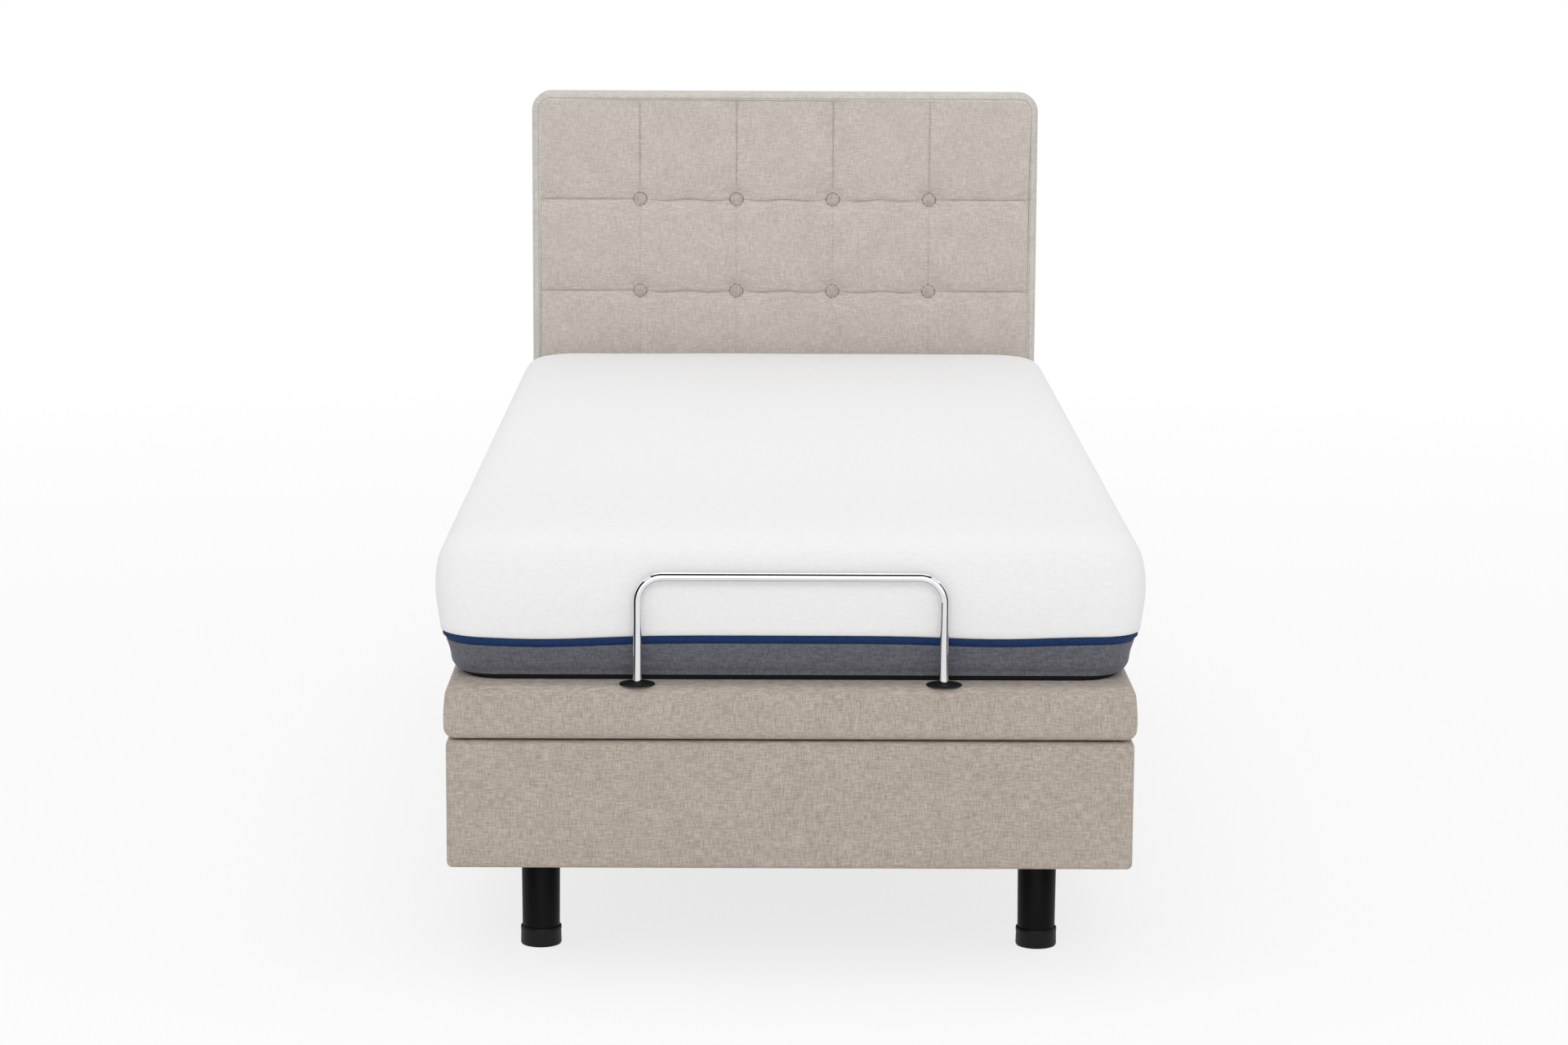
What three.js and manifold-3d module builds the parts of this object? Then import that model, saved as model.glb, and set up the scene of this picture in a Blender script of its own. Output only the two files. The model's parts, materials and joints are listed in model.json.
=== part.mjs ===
import * as THREE from 'three';
import { mergeVertices } from 'three/addons/utils/BufferGeometryUtils.js';
import Module from 'manifold-3d';

const wasm = await Module();
wasm.setup();

// Adjustable bed base: an upholstered box on legs, a deck of four hinged sections,
// the lifting mechanism under it, a mattress with its retainer bar, and a tufted headboard.
// Lengths are in millimetres. X is across the bed, Y runs from foot to head, Z is up.

// Fits shared by all pieces
const FIT = 0.3;
const RUN = 0.4;
const OVERRUN = 3;
const SIDES = 12;
const ROUND_SIDES = 16;

// Upholstered box and its legs
const BED_WIDTH = 900;
const LEG_HEIGHT = 140;
const BOX_HEIGHT = 170;
const PANEL_THICK = 28;
const PANEL_ROUND = 8;
const LEG_SIDE_INSET = 116;
const LEG_INSET = 144.5;
const LEG_DIAMETER = 52;
const LEG_TAPER = 1;
const LEG_WALL = 3;
const STUD_DIAMETER = 10;
const STUD_LENGTH = 24;
const CAP_DIAMETER = 55;
const CAP_HEIGHT = 26;
const CAP_FLOOR = 5;
const CAP_ROUND = 3;

// Deck sections
const DECK_GAP = 2;
const DECK_HEIGHT = 71;
const DECK_BULGE = 3.5;
const DECK_ROUND = 12;
const DECK_CORNER = 10;
const BOARD_THICK = 20;
const APRON_THICK = 24;
const FOOT_APRON_THICK = 42;
const SECTION_GAP = 5;
const CALF_LENGTH = 650;
const THIGH_LENGTH = 330;
const SEAT_LENGTH = 280;
const BACK_LENGTH = 766;

// Hinges between the sections
const TOP_HINGE_DEPTH = 12;
const KNEE_HINGE_RISE = 12;
const PIN_DIAMETER = 10;
const PIN_HEAD_DIAMETER = 15;
const PIN_HEAD_THICK = 3;
const EAR_RADIUS = 11;
const EAR_THICK = 6;
const POCKET_REACH = 16;
const POCKET_CLEAR = 2;

// Steel rails under the sections
const EAR_SIDE_CLEAR = 0.5;
const SECTION_RAIL_WIDTH = 30;
const SECTION_RAIL_HEIGHT = 30;
const EAR_FOOT = 44;
const RAIL_END_CLEAR = 12;

// Chassis
const CROSSBAR_HEIGHT = 49.7;
const CROSSBAR_WIDTH = 60;
const CHASSIS_RAIL_WIDTH = 30;
const CHASSIS_RAIL_HEIGHT = 50;
const SEAT_PLATE_MARGIN = 20;
const SEAT_PLATE_SHOULDER = 70;
const WELD_LAP = 0.4;
const TUBE_WALL = 2.5;

// Lift arms and their rollers
const ARM_SETBACK = 20;
const ARM_DROP = 90;
const BACK_ROLLER_REACH = 360;
const LEG_ROLLER_REACH = 220;
const TORQUE_TUBE_DIAMETER = 38;
const JOURNAL_DIAMETER = 20;
const JOURNAL_WALL = 5;
const JOURNAL_CLEAR = 0.5;
const TORQUE_WALL = 3;
const ARM_THICK = 8;
const ARM_ROOT_RADIUS = 26;
const ARM_TIP_RADIUS = 12;
const ROLLER_DIAMETER = 36;
const ROLLER_WIDTH = 22;
const ROLLER_GROOVE = 2;
const AXLE_DIAMETER = 10;
const AXLE_HEAD_DIAMETER = 15;
const AXLE_HEAD_THICK = 2;

// Actuators between the chassis and the cranks of the lift arms
const CRANK_LENGTH = 56;
const CRANK_THICK = 6;
const CRANK_ROOT_RADIUS = 24;
const BACK_CRANK_ANGLE = THREE.MathUtils.degToRad(-105);
const LEG_CRANK_ANGLE = THREE.MathUtils.degToRad(-65);
const ACTUATOR_X = 130;
const ACTUATOR_LENGTH = 420;
const ANCHOR_HEIGHT = 215;
const EYE_RADIUS = 13;
const EYE_WIDTH = 17;
const EYE_SLOT = 12;
const SLOT_CLEAR = 0.8;
const EYE_STEM = 26;
const GEARBOX_START = 42;
const GEARBOX_LENGTH = 52;
const GEARBOX_HEIGHT = 68;
const GEARBOX_ROUND = 9;
const GEARBOX_SHORT_SIDE = 33;
const GEARBOX_LONG_SIDE = 96;
const MOTOR_CAN_DIAMETER = 56;
const MOTOR_CAN_LENGTH = 118;
const MOTOR_CAN_OFFSET = 62;
const GUIDE_TUBE_DIAMETER = 40;
const GUIDE_COLLAR_DIAMETER = 46;
const GUIDE_COLLAR_LENGTH = 22;
const ROD_DIAMETER = 20;
const ROD_SHOWING = 14;
const ROD_INSERT = 230;

// Foot link that keeps the calf section level as it rises
const LINK_PIN_REACH = 330;
const LINK_PIN_DROP = 20;
const LINK_THICK = 6;
const LINK_RADIUS = 12;
const LINK_WAIST_SHARE = 0.75;
const LINK_PLAY = 1.2;
const THIGH_TRAVEL = THREE.MathUtils.degToRad(32);
const KNEE_RATIO_SHARE = 1.15;
const LUG_FOOT = 40;

// Mattress
const MATTRESS_SETBACK = 33;
const MATTRESS_HEAD_OVERHANG = 2;
const MATTRESS_SIDE_OVERHANG = 17;
const MATTRESS_THICK = 203;
const MATTRESS_CORNER = 46;
const BACK_FOLD = THREE.MathUtils.degToRad(30.2);
const THIGH_FOLD = THREE.MathUtils.degToRad(16.2);

// Mattress retainer bar at the foot
const BAR_DIAMETER = 12;
const BAR_HALF_SPREAD = 200.5;
const BAR_SETBACK = 22;
const BAR_RISE = 143;
const BAR_DEPTH = 53;
const BAR_BEND = 33;
const BAR_SIDES = 10;
const BAR_STEPS = 48;
const ROUND_BEND_SHARE = 0.5523;
const SOCKET_DIAMETER = 40;
const SOCKET_FLANGE = 3.2;
const SLEEVE_DIAMETER = 18;
const SLEEVE_DEPTH = 40;

// Headboard
const HEADBOARD_GAP = 6;
const HEADBOARD_TOP = 1040;
const HEADBOARD_BOTTOM = 215;
const HEADBOARD_CORNER = 33;
const PAD_THICK = 45;
const PAD_EDGE = 14;
const EDGE_LINE_SHARE = 0.25;
const BACKBOARD_THICK = 24.7;
const BACKBOARD_INSET = 4;
const TUFT_PITCH_X = 172;
const TUFT_COLUMN_SHARES = [-1.5, -0.5, 0.5, 1.5];
const TUFT_TOP_Z = 849;
const TUFT_PITCH_Z = 164;
const LOWEST_SEAM_Z = 504;
const SEAM_WIDTH = 15;
const SEAM_DEPTH = 7;
const CHANNEL_DEPTH = 3.5;
const DIMPLE_RADIUS = 30;
const DIMPLE_DEPTH = 9;
const BUTTON_DIAMETER = 26;
const BUTTON_HEIGHT = 8;
const BUTTON_SINK = 4;
const BUTTON_SHOULDER_SHARES = [0.7, 0.8];
const BUTTON_RIM_SHARE = 0.3;
const BRACKET_SIDE_INSET = 150;
const BRACKET_WIDTH = 60;
const BRACKET_HEIGHT = 80;
const BRACKET_DROP = 1;

// Control box on the head crossbar
const CONTROL_WIDTH = 180;
const CONTROL_LENGTH = 110;
const CONTROL_HEIGHT = 44;
const CONTROL_ROUND = 6;
const SOCKET_RECESS = 12;
const SOCKET_WIDTH = 22;
const SOCKET_HEIGHT = 14;
const SOCKET_PITCH = 40;

// Levels and stations worked out from the sizes above
const BOX_TOP = LEG_HEIGHT + BOX_HEIGHT;
const DECK_BOTTOM = BOX_TOP + DECK_GAP;
const DECK_TOP = DECK_BOTTOM + DECK_HEIGHT;
const BOARD_BOTTOM = DECK_TOP - BOARD_THICK;
const TOP_HINGE_Z = DECK_TOP - TOP_HINGE_DEPTH;
const KNEE_Z = DECK_BOTTOM + KNEE_HINGE_RISE;
const KNEE_Y = CALF_LENGTH;
const THIGH_Y = KNEE_Y + THIGH_LENGTH;
const BACK_Y = THIGH_Y + SEAT_LENGTH;
const DECK_HEAD_Y = BACK_Y + BACK_LENGTH;
const BOX_FOOT_Y = DECK_BULGE;
const BOX_HEAD_Y = DECK_HEAD_Y - DECK_BULGE;
const HEADBOARD_Y = DECK_HEAD_Y + HEADBOARD_GAP;
const TOTAL_LENGTH = HEADBOARD_Y + PAD_THICK + FIT + BACKBOARD_THICK;
const LEG_X = BED_WIDTH / 2 - LEG_SIDE_INSET;
const BRACKET_X = BED_WIDTH / 2 - BRACKET_SIDE_INSET;
const MATTRESS_WIDTH = BED_WIDTH + 2 * MATTRESS_SIDE_OVERHANG;
const PANEL_INNER_X = BED_WIDTH / 2 - PANEL_THICK;
const CHASSIS_OUTER_X = PANEL_INNER_X - FIT;
const CHASSIS_INNER_X = CHASSIS_OUTER_X - CHASSIS_RAIL_WIDTH;
const CROSSBAR_BOTTOM = LEG_HEIGHT + FIT;
const CROSSBAR_TOP = CROSSBAR_BOTTOM + CROSSBAR_HEIGHT;
const CHASSIS_RAIL_BOTTOM = CROSSBAR_TOP + FIT;
const CHASSIS_RAIL_TOP = CHASSIS_RAIL_BOTTOM + CHASSIS_RAIL_HEIGHT;
const SEAT_PLATE_X = CHASSIS_INNER_X - EAR_THICK + WELD_LAP;
const SECTION_RAIL_TOP = BOARD_BOTTOM - FIT;
const SECTION_RAIL_BOTTOM = SECTION_RAIL_TOP - SECTION_RAIL_HEIGHT;
const OUTER_EAR_X = SEAT_PLATE_X - EAR_SIDE_CLEAR - EAR_THICK;
const SECTION_RAIL_OUTER_X = OUTER_EAR_X + WELD_LAP;
const SECTION_RAIL_X = SECTION_RAIL_OUTER_X - SECTION_RAIL_WIDTH;
const INNER_EAR_X = SECTION_RAIL_X + WELD_LAP - EAR_THICK;
const ROLLER_Z = SECTION_RAIL_BOTTOM - FIT - ROLLER_DIAMETER / 2;
const TORQUE_Z = TOP_HINGE_Z - ARM_DROP;
const BACK_TORQUE_Y = BACK_Y - ARM_SETBACK;
const LEG_TORQUE_Y = THIGH_Y + ARM_SETBACK;
const MATTRESS_BOTTOM = DECK_TOP + FIT;
const MATTRESS_TOP = MATTRESS_BOTTOM + MATTRESS_THICK;

const model = new THREE.Group();
model.position.set(0, -TOTAL_LENGTH / 2, 0);

// Finishes
function finish(color, roughness, metalness) {
  return new THREE.MeshStandardMaterial({ color, roughness, metalness });
}

const HEADBOARD_FABRIC = 0xc1b9b0;
const BASE_FABRIC = 0xb2a99f;
const LINING = 0x2b2a29;
const KNIT_WHITE = 0xeeeeee;
const BLACK_STEEL = 0x2a2b2d;
const BRIGHT_STEEL = 0xb4b6b8;
const CHROME = 0xd9dadb;
const BLACK_PLASTIC = 0x1b1b1c;
const GREY_PLASTIC = 0x7d7f82;

// Axes of a profile drawn in the side view, with its thickness across the bed
const SIDE_VIEW = new THREE.Matrix4().makeBasis(
  new THREE.Vector3(0, 1, 0),
  new THREE.Vector3(0, 0, 1),
  new THREE.Vector3(1, 0, 0),
);

// Turns a closed three.js geometry into a solid for joins and cuts
function toSolid(geometry) {
  const bare = geometry.clone();
  bare.deleteAttribute('normal');
  bare.deleteAttribute('uv');
  const merged = mergeVertices(bare);
  const vertProperties = new Float32Array(merged.attributes.position.array);
  const triVerts = new Uint32Array(merged.index.array);
  return new wasm.Manifold(new wasm.Mesh({ numProp: 3, vertProperties, triVerts }));
}

function toGeometry(solid) {
  const mesh = solid.getMesh();
  const geometry = new THREE.BufferGeometry();
  geometry.setAttribute('position', new THREE.BufferAttribute(mesh.vertProperties, 3));
  geometry.setIndex(new THREE.BufferAttribute(mesh.triVerts, 1));
  geometry.computeVertexNormals();
  return geometry;
}

// Adds one named piece to the model
function add(name, solid, material) {
  const mesh = new THREE.Mesh(toGeometry(solid), material);
  mesh.name = name;
  model.add(mesh);
  return mesh;
}

// Box between two places on each axis, given in either order
function block(x, y, z) {
  const width = Math.abs(x[1] - x[0]);
  const length = Math.abs(y[1] - y[0]);
  const height = Math.abs(z[1] - z[0]);
  const geometry = new THREE.BoxGeometry(width, length, height);
  geometry.translate((x[0] + x[1]) / 2, (y[0] + y[1]) / 2, (z[0] + z[1]) / 2);
  return toSolid(geometry);
}

function rodAcross(radius, x, y, z, sides = SIDES) {
  const geometry = new THREE.CylinderGeometry(radius, radius, Math.abs(x[1] - x[0]), sides);
  geometry.rotateZ(Math.PI / 2);
  geometry.translate((x[0] + x[1]) / 2, y, z);
  return toSolid(geometry);
}

function rodAlong(radius, x, y, z, sides = SIDES) {
  const geometry = new THREE.CylinderGeometry(radius, radius, Math.abs(y[1] - y[0]), sides);
  geometry.translate(x, (y[0] + y[1]) / 2, z);
  return toSolid(geometry);
}

function rodUp(radius, x, y, z, sides = SIDES) {
  const geometry = new THREE.CylinderGeometry(radius, radius, Math.abs(z[1] - z[0]), sides);
  geometry.rotateX(Math.PI / 2);
  geometry.translate(x, y, (z[0] + z[1]) / 2);
  return toSolid(geometry);
}

// Revolved piece: the profile holds [radius, height] pairs, and stands on the Z axis
function revolve(profile, sides = SIDES) {
  const points = profile.map(([radius, height]) => new THREE.Vector2(radius, height));
  const geometry = new THREE.LatheGeometry(points, sides);
  geometry.rotateX(Math.PI / 2);
  return geometry;
}

// Rectangular tube along one axis, with open ends
function tube(x, y, z, axis) {
  const ranges = [x, y, z].map((range, i) => {
    const [low, high] = [Math.min(...range), Math.max(...range)];
    const wall = i === axis ? -OVERRUN : TUBE_WALL;
    return [low + wall, high - wall];
  });
  return block(x, y, z).subtract(block(...ranges));
}

// Flat plate with an outline in the side view
function plate(outline, x) {
  const depth = Math.abs(x[1] - x[0]);
  const options = { depth, bevelEnabled: false };
  const geometry = new THREE.ExtrudeGeometry(new THREE.Shape(outline), options);
  geometry.applyMatrix4(SIDE_VIEW);
  geometry.translate(Math.min(x[0], x[1]), 0, 0);
  return toSolid(geometry);
}

function arc(centre, radius, from, to, steps = SIDES / 2) {
  const points = [];
  for (let step = 0; step <= steps; step += 1) {
    const angle = THREE.MathUtils.degToRad(from + ((to - from) * step) / steps);
    const y = centre.x + radius * Math.cos(angle);
    const z = centre.y + radius * Math.sin(angle);
    points.push(new THREE.Vector2(y, z));
  }
  return points;
}

// Outline of a lever with a round end at each of two pivots
function leverOutline(from, to, fromRadius, toRadius) {
  const direction = to.clone().sub(from);
  const heading = THREE.MathUtils.radToDeg(direction.angle());
  const tip = arc(to, toRadius, heading - 90, heading + 90);
  const root = arc(from, fromRadius, heading + 90, heading + 270);
  return [...tip, ...root];
}

// Ring of points round a rectangle with rounded corners
function roundedRing(x, y, radius, z, steps) {
  const points = [];
  const corners = [
    [x[1] - radius, y[1] - radius, 0],
    [x[0] + radius, y[1] - radius, 90],
    [x[0] + radius, y[0] + radius, 180],
    [x[1] - radius, y[0] + radius, 270],
  ];
  for (const [centreX, centreY, start] of corners) {
    for (let step = 0; step <= steps; step += 1) {
      const angle = THREE.MathUtils.degToRad(start + (90 * step) / steps);
      const px = centreX + radius * Math.cos(angle);
      const py = centreY + radius * Math.sin(angle);
      points.push(new THREE.Vector3(px, py, z));
    }
  }
  return points;
}

// Closed skin over rings of the same number of points, lowest ring first
function loft(rings) {
  const count = rings[0].length;
  const last = (rings.length - 1) * count;
  const index = [];
  for (let ring = 0; ring < rings.length - 1; ring += 1) {
    for (let i = 0; i < count; i += 1) {
      const a = ring * count + i;
      const b = ring * count + ((i + 1) % count);
      index.push(a, b, b + count, a, b + count, a + count);
    }
  }
  for (let i = 1; i < count - 1; i += 1) {
    index.push(0, i + 1, i);
    index.push(last, last + i, last + i + 1);
  }
  const geometry = new THREE.BufferGeometry().setFromPoints(rings.flat());
  geometry.setIndex(index);
  return geometry;
}

// Heights and insets of a rounded edge, from its outer face inwards
function roundSteps(radius, count = 3) {
  const steps = [];
  for (let step = 0; step <= count; step += 1) {
    const angle = ((Math.PI / 2) * step) / count;
    steps.push([radius * (1 - Math.cos(angle)), radius * (1 - Math.sin(angle))]);
  }
  return steps;
}

// Upholstered board lying flat at the origin, with softened edges
function paddedBoard(width, height, thick, round) {
  const edge = roundSteps(round);
  const lower = edge.map(([rise, inset]) => [rise - thick / 2, inset]);
  const upper = edge.map(([rise, inset]) => [thick / 2 - rise, inset]).reverse();
  const rings = [...lower, ...upper].map(([z, inset]) => {
    const x = [inset - width / 2, width / 2 - inset];
    const y = [inset - height / 2, height / 2 - inset];
    return roundedRing(x, y, round, z, 2);
  });
  return loft(rings);
}

// Box panels
function endPanel(name, outerY, inward) {
  const geometry = paddedBoard(BED_WIDTH, BOX_HEIGHT, PANEL_THICK, PANEL_ROUND);
  geometry.rotateX(Math.PI / 2);
  geometry.translate(0, outerY + (inward * PANEL_THICK) / 2, LEG_HEIGHT + BOX_HEIGHT / 2);
  add(name, toSolid(geometry), finish(BASE_FABRIC, 0.95, 0));
}

function sidePanel(name, side) {
  const from = BOX_FOOT_Y + PANEL_THICK + FIT;
  const to = BOX_HEAD_Y - PANEL_THICK - FIT;
  const geometry = paddedBoard(to - from, BOX_HEIGHT, PANEL_THICK, PANEL_ROUND);
  geometry.applyMatrix4(SIDE_VIEW);
  const x = side * (BED_WIDTH / 2 - PANEL_THICK / 2);
  geometry.translate(x, (from + to) / 2, LEG_HEIGHT + BOX_HEIGHT / 2);
  add(name, toSolid(geometry), finish(BASE_FABRIC, 0.95, 0));
}

// Legs with their plastic caps
const LEG_STATIONS = {
  foot: BOX_FOOT_Y + LEG_INSET,
  head: BOX_HEAD_Y - LEG_INSET,
};

function leg(name, x, y) {
  const bottom = CAP_FLOOR + FIT;
  const top = LEG_DIAMETER / 2;
  const profile = [
    [0, LEG_HEIGHT - LEG_WALL],
    [top - LEG_WALL, LEG_HEIGHT - LEG_WALL],
    [top - LEG_TAPER - LEG_WALL, bottom],
    [top - LEG_TAPER, bottom],
    [top, LEG_HEIGHT],
    [STUD_DIAMETER / 2, LEG_HEIGHT],
    [STUD_DIAMETER / 2, LEG_HEIGHT + STUD_LENGTH],
    [0, LEG_HEIGHT + STUD_LENGTH],
  ];
  const geometry = revolve(profile, ROUND_SIDES);
  geometry.translate(x, y, 0);
  add(`leg_${name}`, toSolid(geometry), finish(BLACK_STEEL, 0.45, 0.3));
}

function legCap(name, x, y) {
  const outer = CAP_DIAMETER / 2;
  const inner = LEG_DIAMETER / 2 + FIT;
  const profile = [
    [0, 0],
    [outer - CAP_ROUND, 0],
    [outer, CAP_ROUND],
    [outer, CAP_HEIGHT],
    [inner, CAP_HEIGHT],
    [inner, CAP_FLOOR],
    [0, CAP_FLOOR],
  ];
  const geometry = revolve(profile, ROUND_SIDES);
  geometry.translate(x, y, 0);
  add(`leg_cap_${name}`, toSolid(geometry), finish(BLACK_PLASTIC, 0.6, 0));
}

// Chassis: two long rails lie on four crossbars
function crossbar(name, y, extras = []) {
  const x = [-CHASSIS_OUTER_X, CHASSIS_OUTER_X];
  const z = [CROSSBAR_BOTTOM, CROSSBAR_TOP];
  let bar = tube(x, [y - CROSSBAR_WIDTH / 2, y + CROSSBAR_WIDTH / 2], z, 0);
  for (const extra of extras) {
    bar = extra(bar);
  }
  add(name, bar, finish(BLACK_STEEL, 0.5, 0.6));
}

function studHole(x, y) {
  const z = [LEG_HEIGHT - OVERRUN, LEG_HEIGHT + STUD_LENGTH + FIT];
  return (bar) => bar.subtract(rodUp(STUD_DIAMETER / 2 + FIT, x, y, z, ROUND_SIDES));
}

// Pair of ears with a cross pin, which holds one end of an actuator
function earPair(x, pivot, base, thick, radius) {
  const start = EYE_WIDTH / 2 + RUN;
  let pair = rodAcross(PIN_DIAMETER / 2, [x - start - thick, x + start + thick], pivot.x, pivot.y);
  for (const side of [-1, 1]) {
    const outline = leverOutline(base, pivot, radius, EYE_RADIUS);
    pair = pair.add(plate(outline, [x + side * start, x + side * (start + thick)]));
  }
  return pair;
}

function anchor(x, y) {
  const pivot = new THREE.Vector2(y, ANCHOR_HEIGHT);
  const base = new THREE.Vector2(y, CROSSBAR_TOP - TUBE_WALL / 2);
  const below = [CROSSBAR_BOTTOM, CROSSBAR_TOP - TUBE_WALL];
  const inside = block([x - CROSSBAR_WIDTH, x + CROSSBAR_WIDTH], [y - EYE_RADIUS, y + EYE_RADIUS], below);
  const ears = earPair(x, pivot, base, CRANK_THICK, EYE_RADIUS).subtract(inside);
  return (bar) => bar.add(ears);
}

// Ground pivot of the foot link: the centre of the circle that passes through
// three places of the link pin, with the thigh section down, halfway and up
function turned(vector, angle) {
  return vector.clone().rotateAround(new THREE.Vector2(0, 0), angle);
}

function linkPinAt(thighAngle) {
  const hinge = new THREE.Vector2(THIGH_Y, TOP_HINGE_Z);
  const knee = new THREE.Vector2(-THIGH_LENGTH, KNEE_Z - TOP_HINGE_Z);
  const pin = new THREE.Vector2(-LINK_PIN_REACH, -LINK_PIN_DROP);
  const calfAngle = (KNEE_RATIO_SHARE - 1) * thighAngle;
  return hinge.add(turned(knee, -thighAngle)).add(turned(pin, calfAngle));
}

function circleCentre(a, b, c) {
  const ab = b.clone().sub(a);
  const ac = c.clone().sub(a);
  const cross = 2 * (ab.x * ac.y - ab.y * ac.x);
  const x = (ac.y * ab.lengthSq() - ab.y * ac.lengthSq()) / cross;
  const y = (ab.x * ac.lengthSq() - ac.x * ab.lengthSq()) / cross;
  return new THREE.Vector2(a.x + x, a.y + y);
}

const LINK_PIN = linkPinAt(0);
const LINK_GROUND = circleCentre(LINK_PIN, linkPinAt(THIGH_TRAVEL / 2), linkPinAt(THIGH_TRAVEL));
const LINK_X = SEAT_PLATE_X;
const LINK_LUG_X = LINK_X + LINK_THICK + RUN;

// Upright plate that carries the seat section, its two hinge lines and both torque tubes
function seatPlateOutline() {
  const top = SECTION_RAIL_TOP;
  const bottom = CHASSIS_RAIL_BOTTOM;
  const backEar = new THREE.Vector2(BACK_Y, TOP_HINGE_Z);
  const thighEar = new THREE.Vector2(THIGH_Y, TOP_HINGE_Z);
  return [
    new THREE.Vector2(THIGH_Y - SEAT_PLATE_MARGIN, bottom),
    new THREE.Vector2(BACK_Y + SEAT_PLATE_MARGIN, bottom),
    new THREE.Vector2(BACK_Y + SEAT_PLATE_MARGIN, TOP_HINGE_Z - SEAT_PLATE_SHOULDER),
    ...arc(backEar, EAR_RADIUS, 0, 90, 4),
    new THREE.Vector2(BACK_Y - POCKET_REACH, top),
    new THREE.Vector2(THIGH_Y + POCKET_REACH, top),
    ...arc(thighEar, EAR_RADIUS, 90, 180, 4),
    new THREE.Vector2(THIGH_Y - SEAT_PLATE_MARGIN, TOP_HINGE_Z - SEAT_PLATE_SHOULDER),
  ];
}

function linkLugOutline() {
  const foot = CHASSIS_RAIL_TOP - TUBE_WALL / 2;
  return [
    ...arc(LINK_GROUND, EAR_RADIUS, 0, 180),
    new THREE.Vector2(LINK_GROUND.x - LUG_FOOT / 2, foot),
    new THREE.Vector2(LINK_GROUND.x + LUG_FOOT / 2, foot),
  ];
}

function boreAcross(radius, x, y, z, sides = SIDES) {
  const low = Math.min(x[0], x[1]) - OVERRUN;
  const high = Math.max(x[0], x[1]) + OVERRUN;
  return rodAcross(radius, [low, high], y, z, sides);
}

function chassisRail(name, side) {
  const inner = side * CHASSIS_INNER_X;
  const y = [BOX_FOOT_Y + PANEL_THICK + FIT, BOX_HEAD_Y - PANEL_THICK - FIT];
  let rail = tube([inner, side * CHASSIS_OUTER_X], y, [CHASSIS_RAIL_BOTTOM, CHASSIS_RAIL_TOP], 1);
  const plateX = [side * SEAT_PLATE_X, side * (SEAT_PLATE_X + EAR_THICK)];
  const journalBore = JOURNAL_DIAMETER / 2 + JOURNAL_CLEAR;
  let seatPlate = plate(seatPlateOutline(), plateX);
  for (const hingeY of [THIGH_Y, BACK_Y]) {
    seatPlate = seatPlate.subtract(boreAcross(PIN_DIAMETER / 2 + FIT, plateX, hingeY, TOP_HINGE_Z));
  }
  for (const tubeY of [LEG_TORQUE_Y, BACK_TORQUE_Y]) {
    const bearing = boreAcross(journalBore, plateX, tubeY, TORQUE_Z, ROUND_SIDES);
    seatPlate = seatPlate.subtract(bearing);
  }
  rail = rail.add(seatPlate);
  const lugX = [side * LINK_LUG_X, side * (LINK_LUG_X + LINK_THICK)];
  rail = rail.add(plate(linkLugOutline(), lugX));
  const pinX = [side * (LINK_X - RUN), side * (LINK_LUG_X + LINK_THICK)];
  rail = rail.add(rodAcross(PIN_DIAMETER / 2, pinX, LINK_GROUND.x, LINK_GROUND.y));
  add(name, rail, finish(BLACK_STEEL, 0.5, 0.6));
}

// Foot links
function footLink(name, side) {
  const x = [side * LINK_X, side * (LINK_X + LINK_THICK)];
  const middle = LINK_PIN.clone().lerp(LINK_GROUND, 0.5);
  const waist = LINK_RADIUS * LINK_WAIST_SHARE;
  let link = plate(leverOutline(middle, LINK_PIN, waist, LINK_RADIUS), x);
  link = link.add(plate(leverOutline(middle, LINK_GROUND, waist, LINK_RADIUS), x));
  link = link.subtract(boreAcross(PIN_DIAMETER / 2 + FIT, x, LINK_GROUND.x, LINK_GROUND.y));
  link = link.subtract(boreAcross(PIN_DIAMETER / 2 + LINK_PLAY, x, LINK_PIN.x, LINK_PIN.y));
  add(name, link, finish(BRIGHT_STEEL, 0.4, 0.9));
}

// Deck sections: an upholstered board with deep side aprons, open underneath
function sectionSkin(y0, y1, footBulge) {
  const edge = roundSteps(DECK_ROUND);
  const levels = [
    ...edge,
    [DECK_HEIGHT / 2, 0],
    ...edge.map(([rise, inset]) => [DECK_HEIGHT - rise, inset]).reverse(),
  ];
  const rings = levels.map(([rise, inset]) => {
    const bulge = DECK_BULGE * Math.sin((Math.PI * rise) / DECK_HEIGHT);
    const halfWidth = BED_WIDTH / 2 - inset + bulge;
    const y = [y0 + inset + (footBulge ? DECK_BULGE - bulge : 0), y1 - inset];
    return roundedRing([-halfWidth, halfWidth], y, DECK_CORNER, DECK_BOTTOM + rise, 2);
  });
  return toSolid(loft(rings));
}

function section(y0, y1, footWall, headWall, footBulge = false) {
  const innerX = BED_WIDTH / 2 - APRON_THICK;
  const innerY = [
    footWall > 0 ? y0 + footWall : y0 - OVERRUN,
    headWall > 0 ? y1 - headWall : y1 + OVERRUN,
  ];
  const hollow = block([-innerX, innerX], innerY, [DECK_BOTTOM - OVERRUN, BOARD_BOTTOM]);
  return sectionSkin(y0, y1, footBulge).subtract(hollow);
}

// Slots in the boards where the hinge ears come up
function cutHingePockets(solid, hingeY) {
  let cut = solid;
  const z = [BOARD_BOTTOM - OVERRUN, DECK_TOP + OVERRUN];
  for (const side of [-1, 1]) {
    const inner = OUTER_EAR_X - RUN - PIN_HEAD_THICK - POCKET_CLEAR;
    const x = [side * inner, side * (SEAT_PLATE_X + EAR_THICK + POCKET_CLEAR)];
    cut = cut.subtract(block(x, [hingeY - POCKET_REACH - RUN, hingeY + POCKET_REACH + RUN], z));
  }
  return cut;
}

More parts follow.
